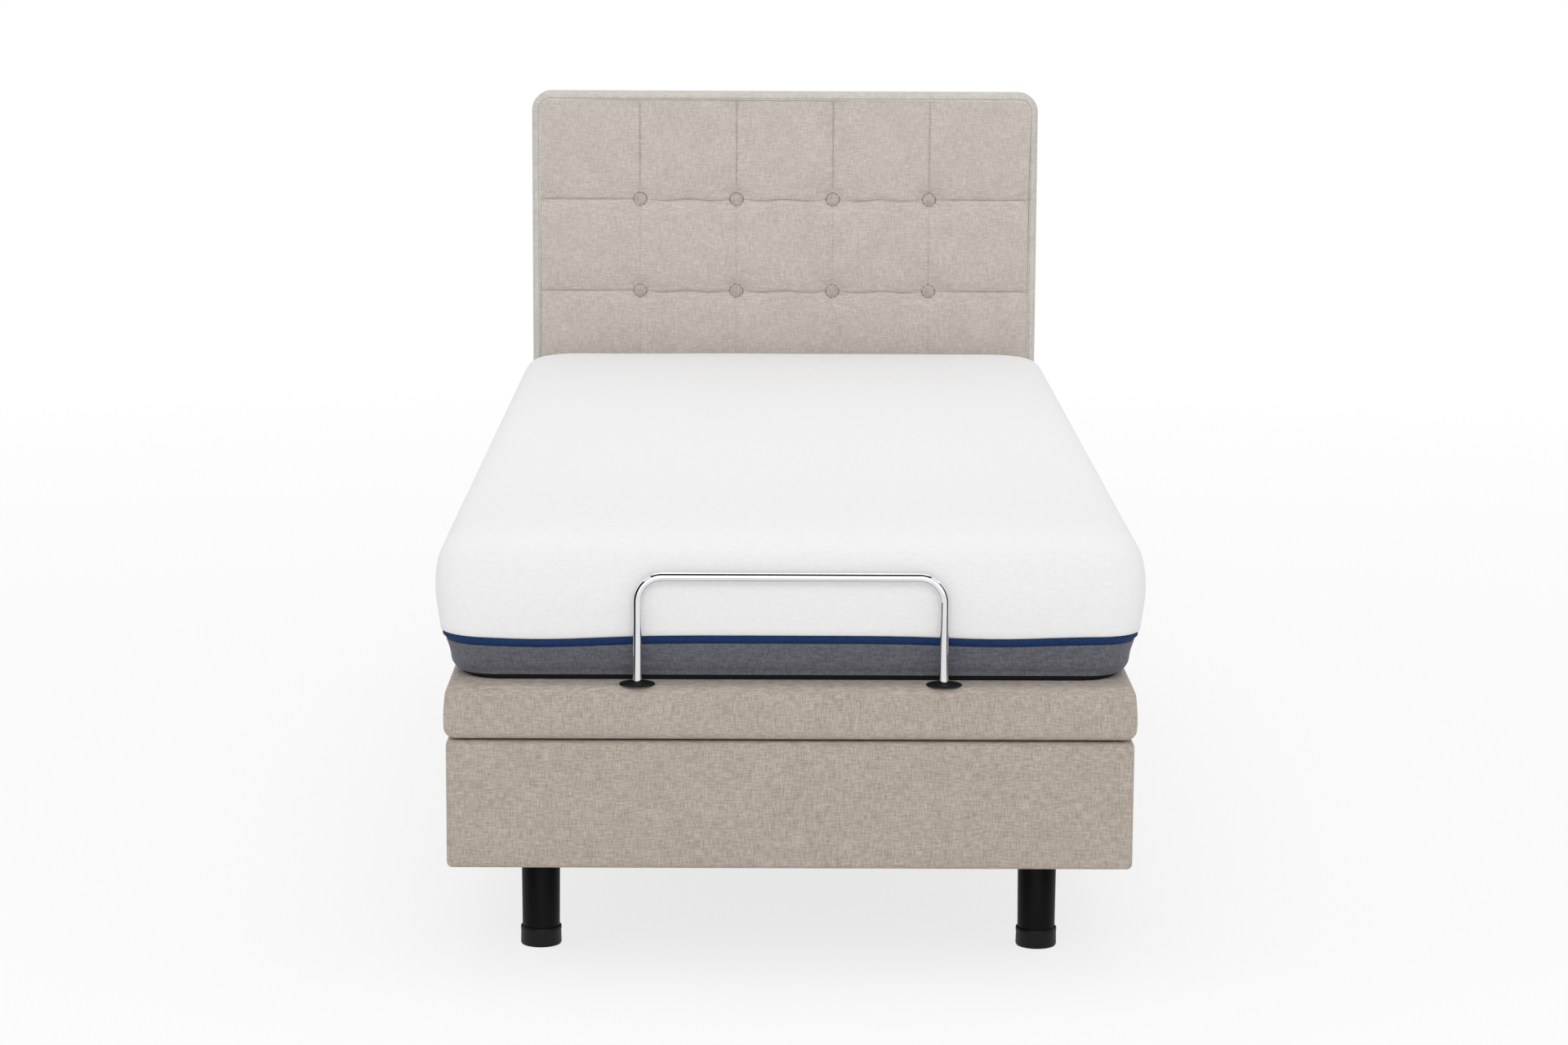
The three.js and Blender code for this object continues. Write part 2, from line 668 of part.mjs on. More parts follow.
const HALF_GAP = SECTION_GAP / 2;
const deckFinish = finish(BASE_FABRIC, 0.95, 0);

function seatDeck() {
  let deck = section(THIGH_Y + HALF_GAP, BACK_Y - HALF_GAP, 0, 0);
  deck = cutHingePockets(deck, THIGH_Y);
  deck = cutHingePockets(deck, BACK_Y);
  add('seat_deck', deck, deckFinish);
}

function backDeck() {
  const deck = section(BACK_Y + HALF_GAP, DECK_HEAD_Y, 0, APRON_THICK);
  add('back_deck', cutHingePockets(deck, BACK_Y), deckFinish);
}

function thighDeck() {
  const deck = section(KNEE_Y + HALF_GAP, THIGH_Y - HALF_GAP, 0, 0);
  add('thigh_deck', cutHingePockets(deck, THIGH_Y), deckFinish);
}

function calfDeck() {
  let deck = section(0, KNEE_Y - HALF_GAP, FOOT_APRON_THICK, 0, true);
  for (const side of [-1, 1]) {
    const x = side * BAR_HALF_SPREAD;
    const sleeveZ = [DECK_TOP - SLEEVE_DEPTH - FIT, DECK_TOP + OVERRUN];
    const barZ = [DECK_TOP - BAR_DEPTH - FIT, DECK_TOP];
    deck = deck.subtract(rodUp(SLEEVE_DIAMETER / 2 + FIT, x, BAR_SETBACK, sleeveZ, ROUND_SIDES));
    deck = deck.subtract(rodUp(BAR_DIAMETER / 2 + RUN, x, BAR_SETBACK, barZ, ROUND_SIDES));
  }
  add('calf_deck', deck, deckFinish);
}

// Steel rails under the moving sections, with an ear at each hinge line.
// towards is 1 where the rail lies on the head side of its hinge and -1 on the foot side.
function topEarOutline(hingeY, towards) {
  const ear = new THREE.Vector2(hingeY, TOP_HINGE_Z);
  const at = (reach, z) => new THREE.Vector2(hingeY + towards * reach, z);
  const round = towards > 0 ? arc(ear, EAR_RADIUS, 90, 270) : arc(ear, EAR_RADIUS, 90, -90);
  const outline = [
    ...round,
    at(POCKET_REACH + RUN, SECTION_RAIL_BOTTOM),
    at(EAR_FOOT, SECTION_RAIL_BOTTOM),
    at(EAR_FOOT, SECTION_RAIL_TOP),
    at(POCKET_REACH, SECTION_RAIL_TOP),
  ];
  return towards > 0 ? outline : outline.reverse();
}

function kneeEarOutline(towards) {
  const ear = new THREE.Vector2(KNEE_Y, KNEE_Z);
  const at = (reach, z) => new THREE.Vector2(KNEE_Y + towards * reach, z);
  const round = towards > 0 ? arc(ear, EAR_RADIUS, 90, 270) : arc(ear, EAR_RADIUS, 90, -90);
  const outline = [
    ...round,
    at(EAR_FOOT, SECTION_RAIL_BOTTOM),
    at(EAR_FOOT, SECTION_RAIL_TOP),
    at(POCKET_REACH, SECTION_RAIL_TOP),
  ];
  return towards > 0 ? outline : outline.reverse();
}

function railBar(side, y) {
  const x = [side * SECTION_RAIL_X, side * SECTION_RAIL_OUTER_X];
  return tube(x, y, [SECTION_RAIL_BOTTOM, SECTION_RAIL_TOP], 1);
}

function earOn(rail, outline, side, startX, hingeY, hingeZ) {
  const x = [side * startX, side * (startX + EAR_THICK)];
  const ear = plate(outline, x);
  const bore = boreAcross(PIN_DIAMETER / 2 + FIT, x, hingeY, hingeZ);
  return rail.add(ear).subtract(bore);
}

const railFinish = finish(BLACK_STEEL, 0.5, 0.6);

function backRail(name, side) {
  const y = [BACK_Y + POCKET_REACH, DECK_HEAD_Y - APRON_THICK - RAIL_END_CLEAR];
  const rail = railBar(side, y);
  const outline = topEarOutline(BACK_Y, 1);
  add(name, earOn(rail, outline, side, OUTER_EAR_X, BACK_Y, TOP_HINGE_Z), railFinish);
}

function thighRail(name, side) {
  let rail = railBar(side, [KNEE_Y + POCKET_REACH, THIGH_Y - POCKET_REACH]);
  rail = earOn(rail, topEarOutline(THIGH_Y, -1), side, OUTER_EAR_X, THIGH_Y, TOP_HINGE_Z);
  rail = earOn(rail, kneeEarOutline(1), side, OUTER_EAR_X, KNEE_Y, KNEE_Z);
  add(name, rail, railFinish);
}

function calfRail(name, side) {
  let rail = railBar(side, [FOOT_APRON_THICK + RAIL_END_CLEAR, KNEE_Y - POCKET_REACH]);
  rail = earOn(rail, kneeEarOutline(-1), side, INNER_EAR_X, KNEE_Y, KNEE_Z);
  const lugTop = new THREE.Vector2(LINK_PIN.x, SECTION_RAIL_BOTTOM + SECTION_RAIL_HEIGHT / 2);
  const lugX = [side * OUTER_EAR_X, side * (OUTER_EAR_X + EAR_THICK)];
  rail = rail.add(plate(leverOutline(lugTop, LINK_PIN, SECTION_RAIL_HEIGHT / 2, EAR_RADIUS), lugX));
  const pinX = [lugX[0], side * (LINK_X + LINK_THICK)];
  rail = rail.add(rodAcross(PIN_DIAMETER / 2, pinX, LINK_PIN.x, LINK_PIN.y));
  add(name, rail, railFinish);
}

// Hinge pins with a head on their inner end
function hingePin(name, side, y, z, fromX, toX) {
  const radius = PIN_DIAMETER / 2;
  const headX = [side * (fromX - PIN_HEAD_THICK), side * fromX];
  const pin = rodAcross(radius, [side * fromX, side * toX], y, z);
  const head = rodAcross(PIN_HEAD_DIAMETER / 2, headX, y, z);
  add(name, pin.add(head), finish(BRIGHT_STEEL, 0.35, 1));
}

// Lift arm: a torque tube across the chassis with two arms, and a crank for its actuator
function liftArm(name, torqueY, rollerY, crankAngle, crankX) {
  const pivot = new THREE.Vector2(torqueY, TORQUE_Z);
  const tip = new THREE.Vector2(rollerY, ROLLER_Z);
  const tubeEnd = SEAT_PLATE_X - RUN;
  const journalEnd = SEAT_PLATE_X + EAR_THICK + RUN;
  const tubeX = [-tubeEnd, tubeEnd];
  const journalX = [-journalEnd, journalEnd];
  let arm = rodAcross(TORQUE_TUBE_DIAMETER / 2, tubeX, torqueY, TORQUE_Z, ROUND_SIDES);
  arm = arm.add(rodAcross(JOURNAL_DIAMETER / 2, journalX, torqueY, TORQUE_Z, ROUND_SIDES));
  const hollowX = [TORQUE_WALL - tubeEnd, tubeEnd - TORQUE_WALL];
  const rollerX = SECTION_RAIL_X + (SECTION_RAIL_WIDTH - ROLLER_WIDTH) / 2;
  const armOuter = SECTION_RAIL_X - ARM_THICK + RUN;
  const axleEnd = rollerX + ROLLER_WIDTH + RUN;
  for (const side of [-1, 1]) {
    const x = [side * (armOuter - ARM_THICK), side * armOuter];
    arm = arm.add(plate(leverOutline(pivot, tip, ARM_ROOT_RADIUS, ARM_TIP_RADIUS), x));
    arm = arm.add(rodAcross(AXLE_DIAMETER / 2, [x[0], side * axleEnd], tip.x, tip.y));
    const headX = [side * axleEnd, side * (axleEnd + AXLE_HEAD_THICK)];
    arm = arm.add(rodAcross(AXLE_HEAD_DIAMETER / 2, headX, tip.x, tip.y));
  }
  const crankTip = turned(new THREE.Vector2(CRANK_LENGTH, 0), crankAngle).add(pivot);
  arm = arm.add(earPair(crankX, crankTip, pivot, CRANK_THICK, CRANK_ROOT_RADIUS));
  arm = arm.subtract(rodAcross(TORQUE_TUBE_DIAMETER / 2 - TORQUE_WALL, hollowX, torqueY, TORQUE_Z));
  const throughRadius = JOURNAL_DIAMETER / 2 - JOURNAL_WALL;
  arm = arm.subtract(boreAcross(throughRadius, journalX, torqueY, TORQUE_Z));
  add(name, arm, finish(BLACK_STEEL, 0.5, 0.6));
  return crankTip;
}

function roller(name, side, y) {
  const outer = ROLLER_DIAMETER / 2;
  const bore = AXLE_DIAMETER / 2 + FIT;
  const half = ROLLER_WIDTH / 2;
  const profile = [
    [bore, -half],
    [outer - ROLLER_GROOVE, -half],
    [outer, ROLLER_GROOVE - half],
    [outer, half - ROLLER_GROOVE],
    [outer - ROLLER_GROOVE, half],
    [bore, half],
    [bore, -half],
  ];
  const geometry = revolve(profile, ROUND_SIDES);
  geometry.rotateY(Math.PI / 2);
  geometry.translate(side * (SECTION_RAIL_X + SECTION_RAIL_WIDTH / 2), y, ROLLER_Z);
  add(name, toSolid(geometry), finish(GREY_PLASTIC, 0.5, 0));
}

// Actuators, drawn from their rear pivot at the origin along +Y
const GEARBOX_END = GEARBOX_START + GEARBOX_LENGTH;
const TUBE_END = ACTUATOR_LENGTH - EYE_STEM - ROD_SHOWING;

function actuatorMotor() {
  const eyeX = [-EYE_WIDTH / 2, EYE_WIDTH / 2];
  const rear = new THREE.Vector2(0, 0);
  const root = new THREE.Vector2(GEARBOX_START, 0);
  let motor = plate(leverOutline(root, rear, EYE_RADIUS, EYE_RADIUS), eyeX);
  const width = GEARBOX_SHORT_SIDE + GEARBOX_LONG_SIDE;
  const gearbox = paddedBoard(width, GEARBOX_HEIGHT, GEARBOX_LENGTH, GEARBOX_ROUND);
  gearbox.rotateX(Math.PI / 2);
  const gearboxX = (GEARBOX_LONG_SIDE - GEARBOX_SHORT_SIDE) / 2;
  gearbox.translate(gearboxX, GEARBOX_START + GEARBOX_LENGTH / 2, 0);
  motor = motor.add(toSolid(gearbox));
  const canY = [GEARBOX_END - OVERRUN, GEARBOX_END + MOTOR_CAN_LENGTH];
  motor = motor.add(rodAlong(MOTOR_CAN_DIAMETER / 2, MOTOR_CAN_OFFSET, canY, 0, ROUND_SIDES));
  const tubeY = [GEARBOX_END - OVERRUN, TUBE_END];
  motor = motor.add(rodAlong(GUIDE_TUBE_DIAMETER / 2, 0, tubeY, 0));
  const collarY = [TUBE_END - GUIDE_COLLAR_LENGTH, TUBE_END];
  motor = motor.add(rodAlong(GUIDE_COLLAR_DIAMETER / 2, 0, collarY, 0));
  const boreY = [TUBE_END - ROD_INSERT - OVERRUN, TUBE_END + OVERRUN];
  motor = motor.subtract(rodAlong(ROD_DIAMETER / 2 + RUN, 0, boreY, 0));
  return motor.subtract(boreAcross(PIN_DIAMETER / 2 + FIT, eyeX, 0, 0));
}

function actuatorRod() {
  const eyeX = [-EYE_WIDTH / 2, EYE_WIDTH / 2];
  const half = EYE_SLOT / 2;
  const eye = new THREE.Vector2(ACTUATOR_LENGTH, half);
  const lowEye = new THREE.Vector2(ACTUATOR_LENGTH, -half);
  const stemY = ACTUATOR_LENGTH - EYE_STEM;
  let rod = rodAlong(ROD_DIAMETER / 2, 0, [TUBE_END - ROD_INSERT, stemY], 0);
  rod = rod.add(block(eyeX, [stemY - WELD_LAP, ACTUATOR_LENGTH], eyeX));
  rod = rod.add(plate(leverOutline(lowEye, eye, EYE_RADIUS, EYE_RADIUS), eyeX));
  const slotRadius = PIN_DIAMETER / 2 + SLOT_CLEAR;
  const slot = leverOutline(lowEye, eye, slotRadius, slotRadius);
  return rod.subtract(plate(slot, [eyeX[0] - OVERRUN, eyeX[1] + OVERRUN]));
}

function actuator(name, x, crankTip, heading) {
  const reach = crankTip.y - ANCHOR_HEIGHT;
  const run = Math.sqrt(ACTUATOR_LENGTH * ACTUATOR_LENGTH - reach * reach);
  const anchorY = crankTip.x - heading * run;
  const pitch = Math.asin(reach / ACTUATOR_LENGTH);
  const pieces = [
    add(`${name}_motor`, actuatorMotor(), finish(BLACK_PLASTIC, 0.55, 0)),
    add(`${name}_rod`, actuatorRod(), finish(BRIGHT_STEEL, 0.3, 1)),
  ];
  for (const piece of pieces) {
    piece.position.set(x, anchorY, ANCHOR_HEIGHT);
    piece.rotation.order = 'ZXY';
    piece.rotation.x = pitch;
    piece.rotation.z = heading > 0 ? 0 : Math.PI;
  }
  return anchorY;
}

// Mattress: one crowned block, cut where the deck folds.
// Each pair gives a height as a share of the thickness and the inset of the side there.
const MATTRESS_PROFILE_SHARES = [
  [0, 0.043],
  [0.03, 0.03],
  [0.08, 0.021],
  [0.2, 0.018],
  [0.25, 0.0105],
  [0.31, 0.007],
  [0.45, 0.0025],
  [0.58, 0],
  [0.72, 0.002],
  [0.83, 0.009],
  [0.91, 0.023],
  [0.955, 0.045],
  [0.98, 0.085],
  [0.994, 0.16],
  [1, 0.28],
];

function mattressBlock() {
  const rings = MATTRESS_PROFILE_SHARES.map(([heightShare, insetShare]) => {
    const inset = MATTRESS_WIDTH * insetShare;
    const halfWidth = MATTRESS_WIDTH / 2 - inset;
    const y = [MATTRESS_SETBACK + inset, DECK_HEAD_Y + MATTRESS_HEAD_OVERHANG - inset];
    const z = MATTRESS_BOTTOM + MATTRESS_THICK * heightShare;
    return roundedRing([-halfWidth, halfWidth], y, MATTRESS_CORNER, z, 4);
  });
  return toSolid(loft(rings));
}

// Wedge that opens upwards from a hinge line, seen in the side view
function foldWedge(hingeY, angle, grow) {
  const height = MATTRESS_TOP + OVERRUN - TOP_HINGE_Z;
  const spread = height * Math.tan(angle) + grow;
  const outline = [
    new THREE.Vector2(hingeY - grow, TOP_HINGE_Z),
    new THREE.Vector2(hingeY + grow, TOP_HINGE_Z),
    new THREE.Vector2(hingeY + spread, TOP_HINGE_Z + height),
    new THREE.Vector2(hingeY - spread, TOP_HINGE_Z + height),
  ];
  return plate(outline, [-MATTRESS_WIDTH, MATTRESS_WIDTH]);
}

function slab(y) {
  const z = [MATTRESS_BOTTOM - OVERRUN, MATTRESS_TOP + OVERRUN];
  return block([-MATTRESS_WIDTH, MATTRESS_WIDTH], y, z);
}

function mattress() {
  const whole = mattressBlock();
  const fabric = finish(KNIT_WHITE, 0.9, 0);
  const backWedge = foldWedge(BACK_Y, BACK_FOLD, FIT);
  const thighWedge = foldWedge(THIGH_Y, THIGH_FOLD, FIT);
  const rest = whole.subtract(foldWedge(BACK_Y, BACK_FOLD, 2 * FIT))
    .subtract(foldWedge(THIGH_Y, THIGH_FOLD, 2 * FIT));
  add('mattress_calf', rest.intersect(slab([-OVERRUN, KNEE_Y - FIT / 2])), fabric);
  add('mattress_thigh', rest.intersect(slab([KNEE_Y + FIT / 2, THIGH_Y])), fabric);
  add('mattress_seat', rest.intersect(slab([THIGH_Y, BACK_Y])), fabric);
  add('mattress_back', rest.intersect(slab([BACK_Y, TOTAL_LENGTH])), fabric);
  add('mattress_thigh_fold', whole.intersect(thighWedge), fabric);
  add('mattress_back_fold', whole.intersect(backWedge), fabric);
}

// Retainer bar: one bent tube that drops into two sockets
function retainerBar() {
  const bottom = DECK_TOP - BAR_DEPTH;
  const top = DECK_TOP + BAR_RISE;
  const side = BAR_HALF_SPREAD;
  const bend = BAR_BEND;
  const at = (x, z) => new THREE.Vector3(x, BAR_SETBACK, z);
  const path = new THREE.CurvePath();
  const corner = (x0, z0, x1, z1, x2, z2) => {
    const first = at(x0 + (x1 - x0) * ROUND_BEND_SHARE, z0 + (z1 - z0) * ROUND_BEND_SHARE);
    const second = at(x2 + (x1 - x2) * ROUND_BEND_SHARE, z2 + (z1 - z2) * ROUND_BEND_SHARE);
    return new THREE.CubicBezierCurve3(at(x0, z0), first, second, at(x2, z2));
  };
  path.add(new THREE.LineCurve3(at(-side, bottom), at(-side, top - bend)));
  path.add(corner(-side, top - bend, -side, top, bend - side, top));
  path.add(new THREE.LineCurve3(at(bend - side, top), at(side - bend, top)));
  path.add(corner(side - bend, top, side, top, side, top - bend));
  path.add(new THREE.LineCurve3(at(side, top - bend), at(side, bottom)));
  const lastCorner = 360 - 360 / BAR_SIDES;
  const ring = arc(new THREE.Vector2(0, 0), BAR_DIAMETER / 2, 0, lastCorner, BAR_SIDES - 1);
  const sectionShape = new THREE.Shape(ring);
  const options = { steps: BAR_STEPS, bevelEnabled: false, extrudePath: path };
  const geometry = new THREE.ExtrudeGeometry(sectionShape, options);
  add('retainer_bar', toSolid(geometry), finish(CHROME, 0.12, 1));
}

function barSocket(name, side) {
  const bore = BAR_DIAMETER / 2 + RUN;
  const sleeve = SLEEVE_DIAMETER / 2;
  const flange = SOCKET_DIAMETER / 2;
  const profile = [
    [bore, -SLEEVE_DEPTH],
    [sleeve, -SLEEVE_DEPTH],
    [sleeve, FIT],
    [flange, FIT],
    [flange, SOCKET_FLANGE / 2],
    [flange - SOCKET_FLANGE / 2, SOCKET_FLANGE],
    [bore, SOCKET_FLANGE],
    [bore, -SLEEVE_DEPTH],
  ];
  const geometry = revolve(profile, ROUND_SIDES);
  geometry.translate(side * BAR_HALF_SPREAD, BAR_SETBACK, DECK_TOP);
  add(name, toSolid(geometry), finish(BLACK_PLASTIC, 0.4, 0));
}

// Headboard
const TUFT_COLUMNS = TUFT_COLUMN_SHARES.map((share) => share * TUFT_PITCH_X);
const TUFT_ROWS = [TUFT_TOP_Z, TUFT_TOP_Z - TUFT_PITCH_Z];
const SEAM_ROWS = [...TUFT_ROWS, LOWEST_SEAM_Z];

// Distance inwards from the rounded outline of the headboard
function insetFromOutline(x, z) {
  const middle = (HEADBOARD_TOP + HEADBOARD_BOTTOM) / 2;
  const halfHeight = (HEADBOARD_TOP - HEADBOARD_BOTTOM) / 2;
  const dx = Math.abs(x) - (BED_WIDTH / 2 - HEADBOARD_CORNER);
  const dz = Math.abs(z - middle) - (halfHeight - HEADBOARD_CORNER);
  const outside = Math.hypot(Math.max(dx, 0), Math.max(dz, 0));
  return HEADBOARD_CORNER - outside - Math.min(Math.max(dx, dz), 0);
}

function padFace(x, z) {
  const bell = (distance, width) => Math.exp(-((distance / width) ** 2));
  const inset = Math.min(Math.max(insetFromOutline(x, z), 0), PAD_EDGE);
  const edge = PAD_EDGE - Math.sqrt(PAD_EDGE ** 2 - (PAD_EDGE - inset) ** 2);
  let depth = edge;
  for (const row of SEAM_ROWS) {
    depth = Math.max(depth, SEAM_DEPTH * bell(z - row, SEAM_WIDTH));
  }
  for (const column of TUFT_COLUMNS) {
    depth = Math.max(depth, z > LOWEST_SEAM_Z ? CHANNEL_DEPTH * bell(x - column, SEAM_WIDTH) : 0);
    for (const row of TUFT_ROWS) {
      const distance = Math.hypot(x - column, z - row);
      depth += DIMPLE_DEPTH * bell(distance, DIMPLE_RADIUS) * (edge > 0 ? 0 : 1);
    }
  }
  return HEADBOARD_Y + depth;
}

// Grid lines: close together at edges and seams, one between
function gridLines(low, high, seams) {
  const sorted = [...seams].sort((a, b) => a - b);
  const lines = [low, low + PAD_EDGE * EDGE_LINE_SHARE, low + PAD_EDGE];
  let previous = low + PAD_EDGE;
  for (const seam of sorted) {
    lines.push((previous + seam - SEAM_WIDTH) / 2);
    lines.push(seam - SEAM_WIDTH, seam, seam + SEAM_WIDTH);
    previous = seam + SEAM_WIDTH;
  }
  lines.push((previous + high - PAD_EDGE) / 2);
  lines.push(high - PAD_EDGE, high - PAD_EDGE * EDGE_LINE_SHARE, high);
  return lines;
}

// Point numbers round the edge of a grid
function gridRim(columns, rows) {
  const across = [...Array(columns - 1).keys()];
  const up = [...Array(rows - 1).keys()];
  return [
    ...across,
    ...up.map((row) => row * columns + columns - 1),
    ...across.map((column) => rows * columns - 1 - column),
    ...up.map((row) => (rows - 1 - row) * columns),
  ];
}

function padSurface() {
  const xs = gridLines(-BED_WIDTH / 2, BED_WIDTH / 2, TUFT_COLUMNS);
  const zs = gridLines(HEADBOARD_BOTTOM, HEADBOARD_TOP, SEAM_ROWS);
  const back = HEADBOARD_Y + PAD_THICK;
  const points = [];
  const index = [];
  for (const z of zs) {
    for (const x of xs) {
      points.push(new THREE.Vector3(x, padFace(x, z), z));
    }
  }
  const columns = xs.length;
  const rows = zs.length;
  for (let row = 0; row < rows - 1; row += 1) {
    for (let column = 0; column < columns - 1; column += 1) {
      const a = row * columns + column;
      index.push(a, a + 1, a + columns + 1, a, a + columns + 1, a + columns);
    }
  }
  const rim = gridRim(columns, rows);
  const first = points.length;
  for (const i of rim) {
    points.push(new THREE.Vector3(points[i].x, back, points[i].z));
  }
  const centre = points.length;
  points.push(new THREE.Vector3(0, back, (HEADBOARD_TOP + HEADBOARD_BOTTOM) / 2));
  rim.forEach((front, i) => {
    const next = (i + 1) % rim.length;
    index.push(front, first + i, first + next, front, first + next, rim[next]);
    index.push(first + i, centre, first + next);
  });
  const geometry = new THREE.BufferGeometry().setFromPoints(points);
  geometry.setIndex(index);
  return toSolid(geometry);
}

function headboardOutline(inset, y, thick) {
  const half = BED_WIDTH / 2 - inset;
  const height = HEADBOARD_TOP - HEADBOARD_BOTTOM - 2 * inset;
  const radius = HEADBOARD_CORNER - inset;
  const x = [-half, half];
  const bottom = HEADBOARD_BOTTOM + inset;
  const ring = roundedRing(x, [bottom, bottom + height], radius, 0, 5);
  const shape = new THREE.Shape(ring.map((point) => new THREE.Vector2(point.x, point.y)));
  const geometry = new THREE.ExtrudeGeometry(shape, { depth: thick, bevelEnabled: false });
  geometry.rotateX(Math.PI / 2);
  geometry.translate(0, y + thick, 0);
  return toSolid(geometry);
}

function button(x, z) {
  const radius = BUTTON_DIAMETER / 2;
  const [shoulderRadiusShare, shoulderHeightShare] = BUTTON_SHOULDER_SHARES;
  const profile = [
    [0, -BUTTON_SINK],
    [radius, -BUTTON_SINK],
    [radius, BUTTON_HEIGHT * BUTTON_RIM_SHARE],
    [radius * shoulderRadiusShare, BUTTON_HEIGHT * shoulderHeightShare],
    [0, BUTTON_HEIGHT],
  ];
  const geometry = revolve(profile, SIDES);
  geometry.rotateX(Math.PI / 2);
  geometry.translate(x, padFace(x, z), z);
  return toSolid(geometry);
}

function headboardPad() {
  const trim = headboardOutline(0, HEADBOARD_Y - OVERRUN, PAD_THICK + 2 * OVERRUN);
  let pad = padSurface().intersect(trim);
  for (const x of TUFT_COLUMNS) {
    for (const z of TUFT_ROWS) {
      pad = pad.add(button(x, z));
    }
  }
  add('headboard_pad', pad, finish(HEADBOARD_FABRIC, 0.95, 0));
}

function headboard() {
  headboardPad();
  const backY = HEADBOARD_Y + PAD_THICK + FIT;
  add('headboard_board', headboardOutline(BACKBOARD_INSET, backY, BACKBOARD_THICK), finish(LINING, 0.9, 0));
}

function headboardBracket(name, side) {
  const x = [side * (BRACKET_X - BRACKET_WIDTH / 2), side * (BRACKET_X + BRACKET_WIDTH / 2)];
  const top = BOX_TOP - BRACKET_DROP;
  const z = [top - BRACKET_HEIGHT, top];
  const bracket = block(x, [BOX_HEAD_Y + FIT, HEADBOARD_Y - FIT], z);
  add(name, bracket, finish(BLACK_STEEL, 0.5, 0.6));
}

function controlBox() {
  const y = LEG_STATIONS.head;
  const geometry = paddedBoard(CONTROL_WIDTH, CONTROL_LENGTH, CONTROL_HEIGHT, CONTROL_ROUND);
  const bottom = CROSSBAR_TOP + FIT;
  geometry.translate(0, y, bottom + CONTROL_HEIGHT / 2);
  let box = toSolid(geometry);
  const face = y - CONTROL_LENGTH / 2;
  const middle = bottom + CONTROL_HEIGHT / 2;
  const z = [middle - SOCKET_HEIGHT / 2, middle + SOCKET_HEIGHT / 2];
  for (const place of [-1, 0, 1]) {
    const x = place * SOCKET_PITCH;
    const width = [x - SOCKET_WIDTH / 2, x + SOCKET_WIDTH / 2];
    box = box.subtract(block(width, [face - OVERRUN, face + SOCKET_RECESS], z));
  }
  add('control_box', box, finish(BLACK_PLASTIC, 0.6, 0));
}

// Assembly
const SIDE_NAMES = [['left', -1], ['right', 1]];

endPanel('foot_panel', BOX_FOOT_Y, 1);
endPanel('head_panel', BOX_HEAD_Y, -1);
for (const [name, side] of SIDE_NAMES) {
  sidePanel(`side_panel_${name}`, side);
  chassisRail(`chassis_rail_${name}`, side);
  for (const [end, y] of Object.entries(LEG_STATIONS)) {
    leg(`${end}_${name}`, side * LEG_X, y);
    legCap(`${end}_${name}`, side * LEG_X, y);
  }
}
for (const [end, y] of Object.entries(LEG_STATIONS)) {
  crossbar(`crossbar_${end}`, y, [studHole(-LEG_X, y), studHole(LEG_X, y)]);
}

seatDeck();
backDeck();
thighDeck();
calfDeck();
const seatPinX = [OUTER_EAR_X - RUN, SEAT_PLATE_X + EAR_THICK];
const kneePinX = [INNER_EAR_X - RUN, OUTER_EAR_X + EAR_THICK + RUN];
for (const [name, side] of SIDE_NAMES) {
  backRail(`back_rail_${name}`, side);
  thighRail(`thigh_rail_${name}`, side);
  calfRail(`calf_rail_${name}`, side);
  footLink(`foot_link_${name}`, side);
  hingePin(`back_hinge_pin_${name}`, side, BACK_Y, TOP_HINGE_Z, ...seatPinX);
  hingePin(`thigh_hinge_pin_${name}`, side, THIGH_Y, TOP_HINGE_Z, ...seatPinX);
  hingePin(`knee_hinge_pin_${name}`, side, KNEE_Y, KNEE_Z, ...kneePinX);
}

const backRollerY = BACK_Y + BACK_ROLLER_REACH;
const legRollerY = THIGH_Y - LEG_ROLLER_REACH;
const backCrank = liftArm('back_lift_arm', BACK_TORQUE_Y, backRollerY, BACK_CRANK_ANGLE, -ACTUATOR_X);
const legCrank = liftArm('leg_lift_arm', LEG_TORQUE_Y, legRollerY, LEG_CRANK_ANGLE, ACTUATOR_X);
for (const [name, side] of SIDE_NAMES) {
  roller(`back_roller_${name}`, side, backRollerY);
  roller(`leg_roller_${name}`, side, legRollerY);
  barSocket(`bar_socket_${name}`, side);
  headboardBracket(`headboard_bracket_${name}`, side);
}
const backAnchorY = actuator('back', -ACTUATOR_X, backCrank, 1);
const legAnchorY = actuator('leg', ACTUATOR_X, legCrank, -1);
crossbar('crossbar_back_motor', backAnchorY, [anchor(-ACTUATOR_X, backAnchorY)]);
crossbar('crossbar_leg_motor', legAnchorY, [anchor(ACTUATOR_X, legAnchorY)]);
controlBox();
mattress();
retainerBar();
headboard();

export default model;
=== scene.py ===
# %% [markdown]
# An adjustable bed seen from its foot: a linen covered box on black legs, a folding deck,
# a white mattress with a blue binding and a grey border, a chrome retainer bar and a tufted headboard.
# The measured model is loaded first and never moved. Steel, plastic and wood keep its shapes and
# get finishes here. Cloth, padding and the round visible parts are modelled again with finer meshes.

import json
import math

import bmesh
import bpy
from mathutils import Matrix, Vector, noise


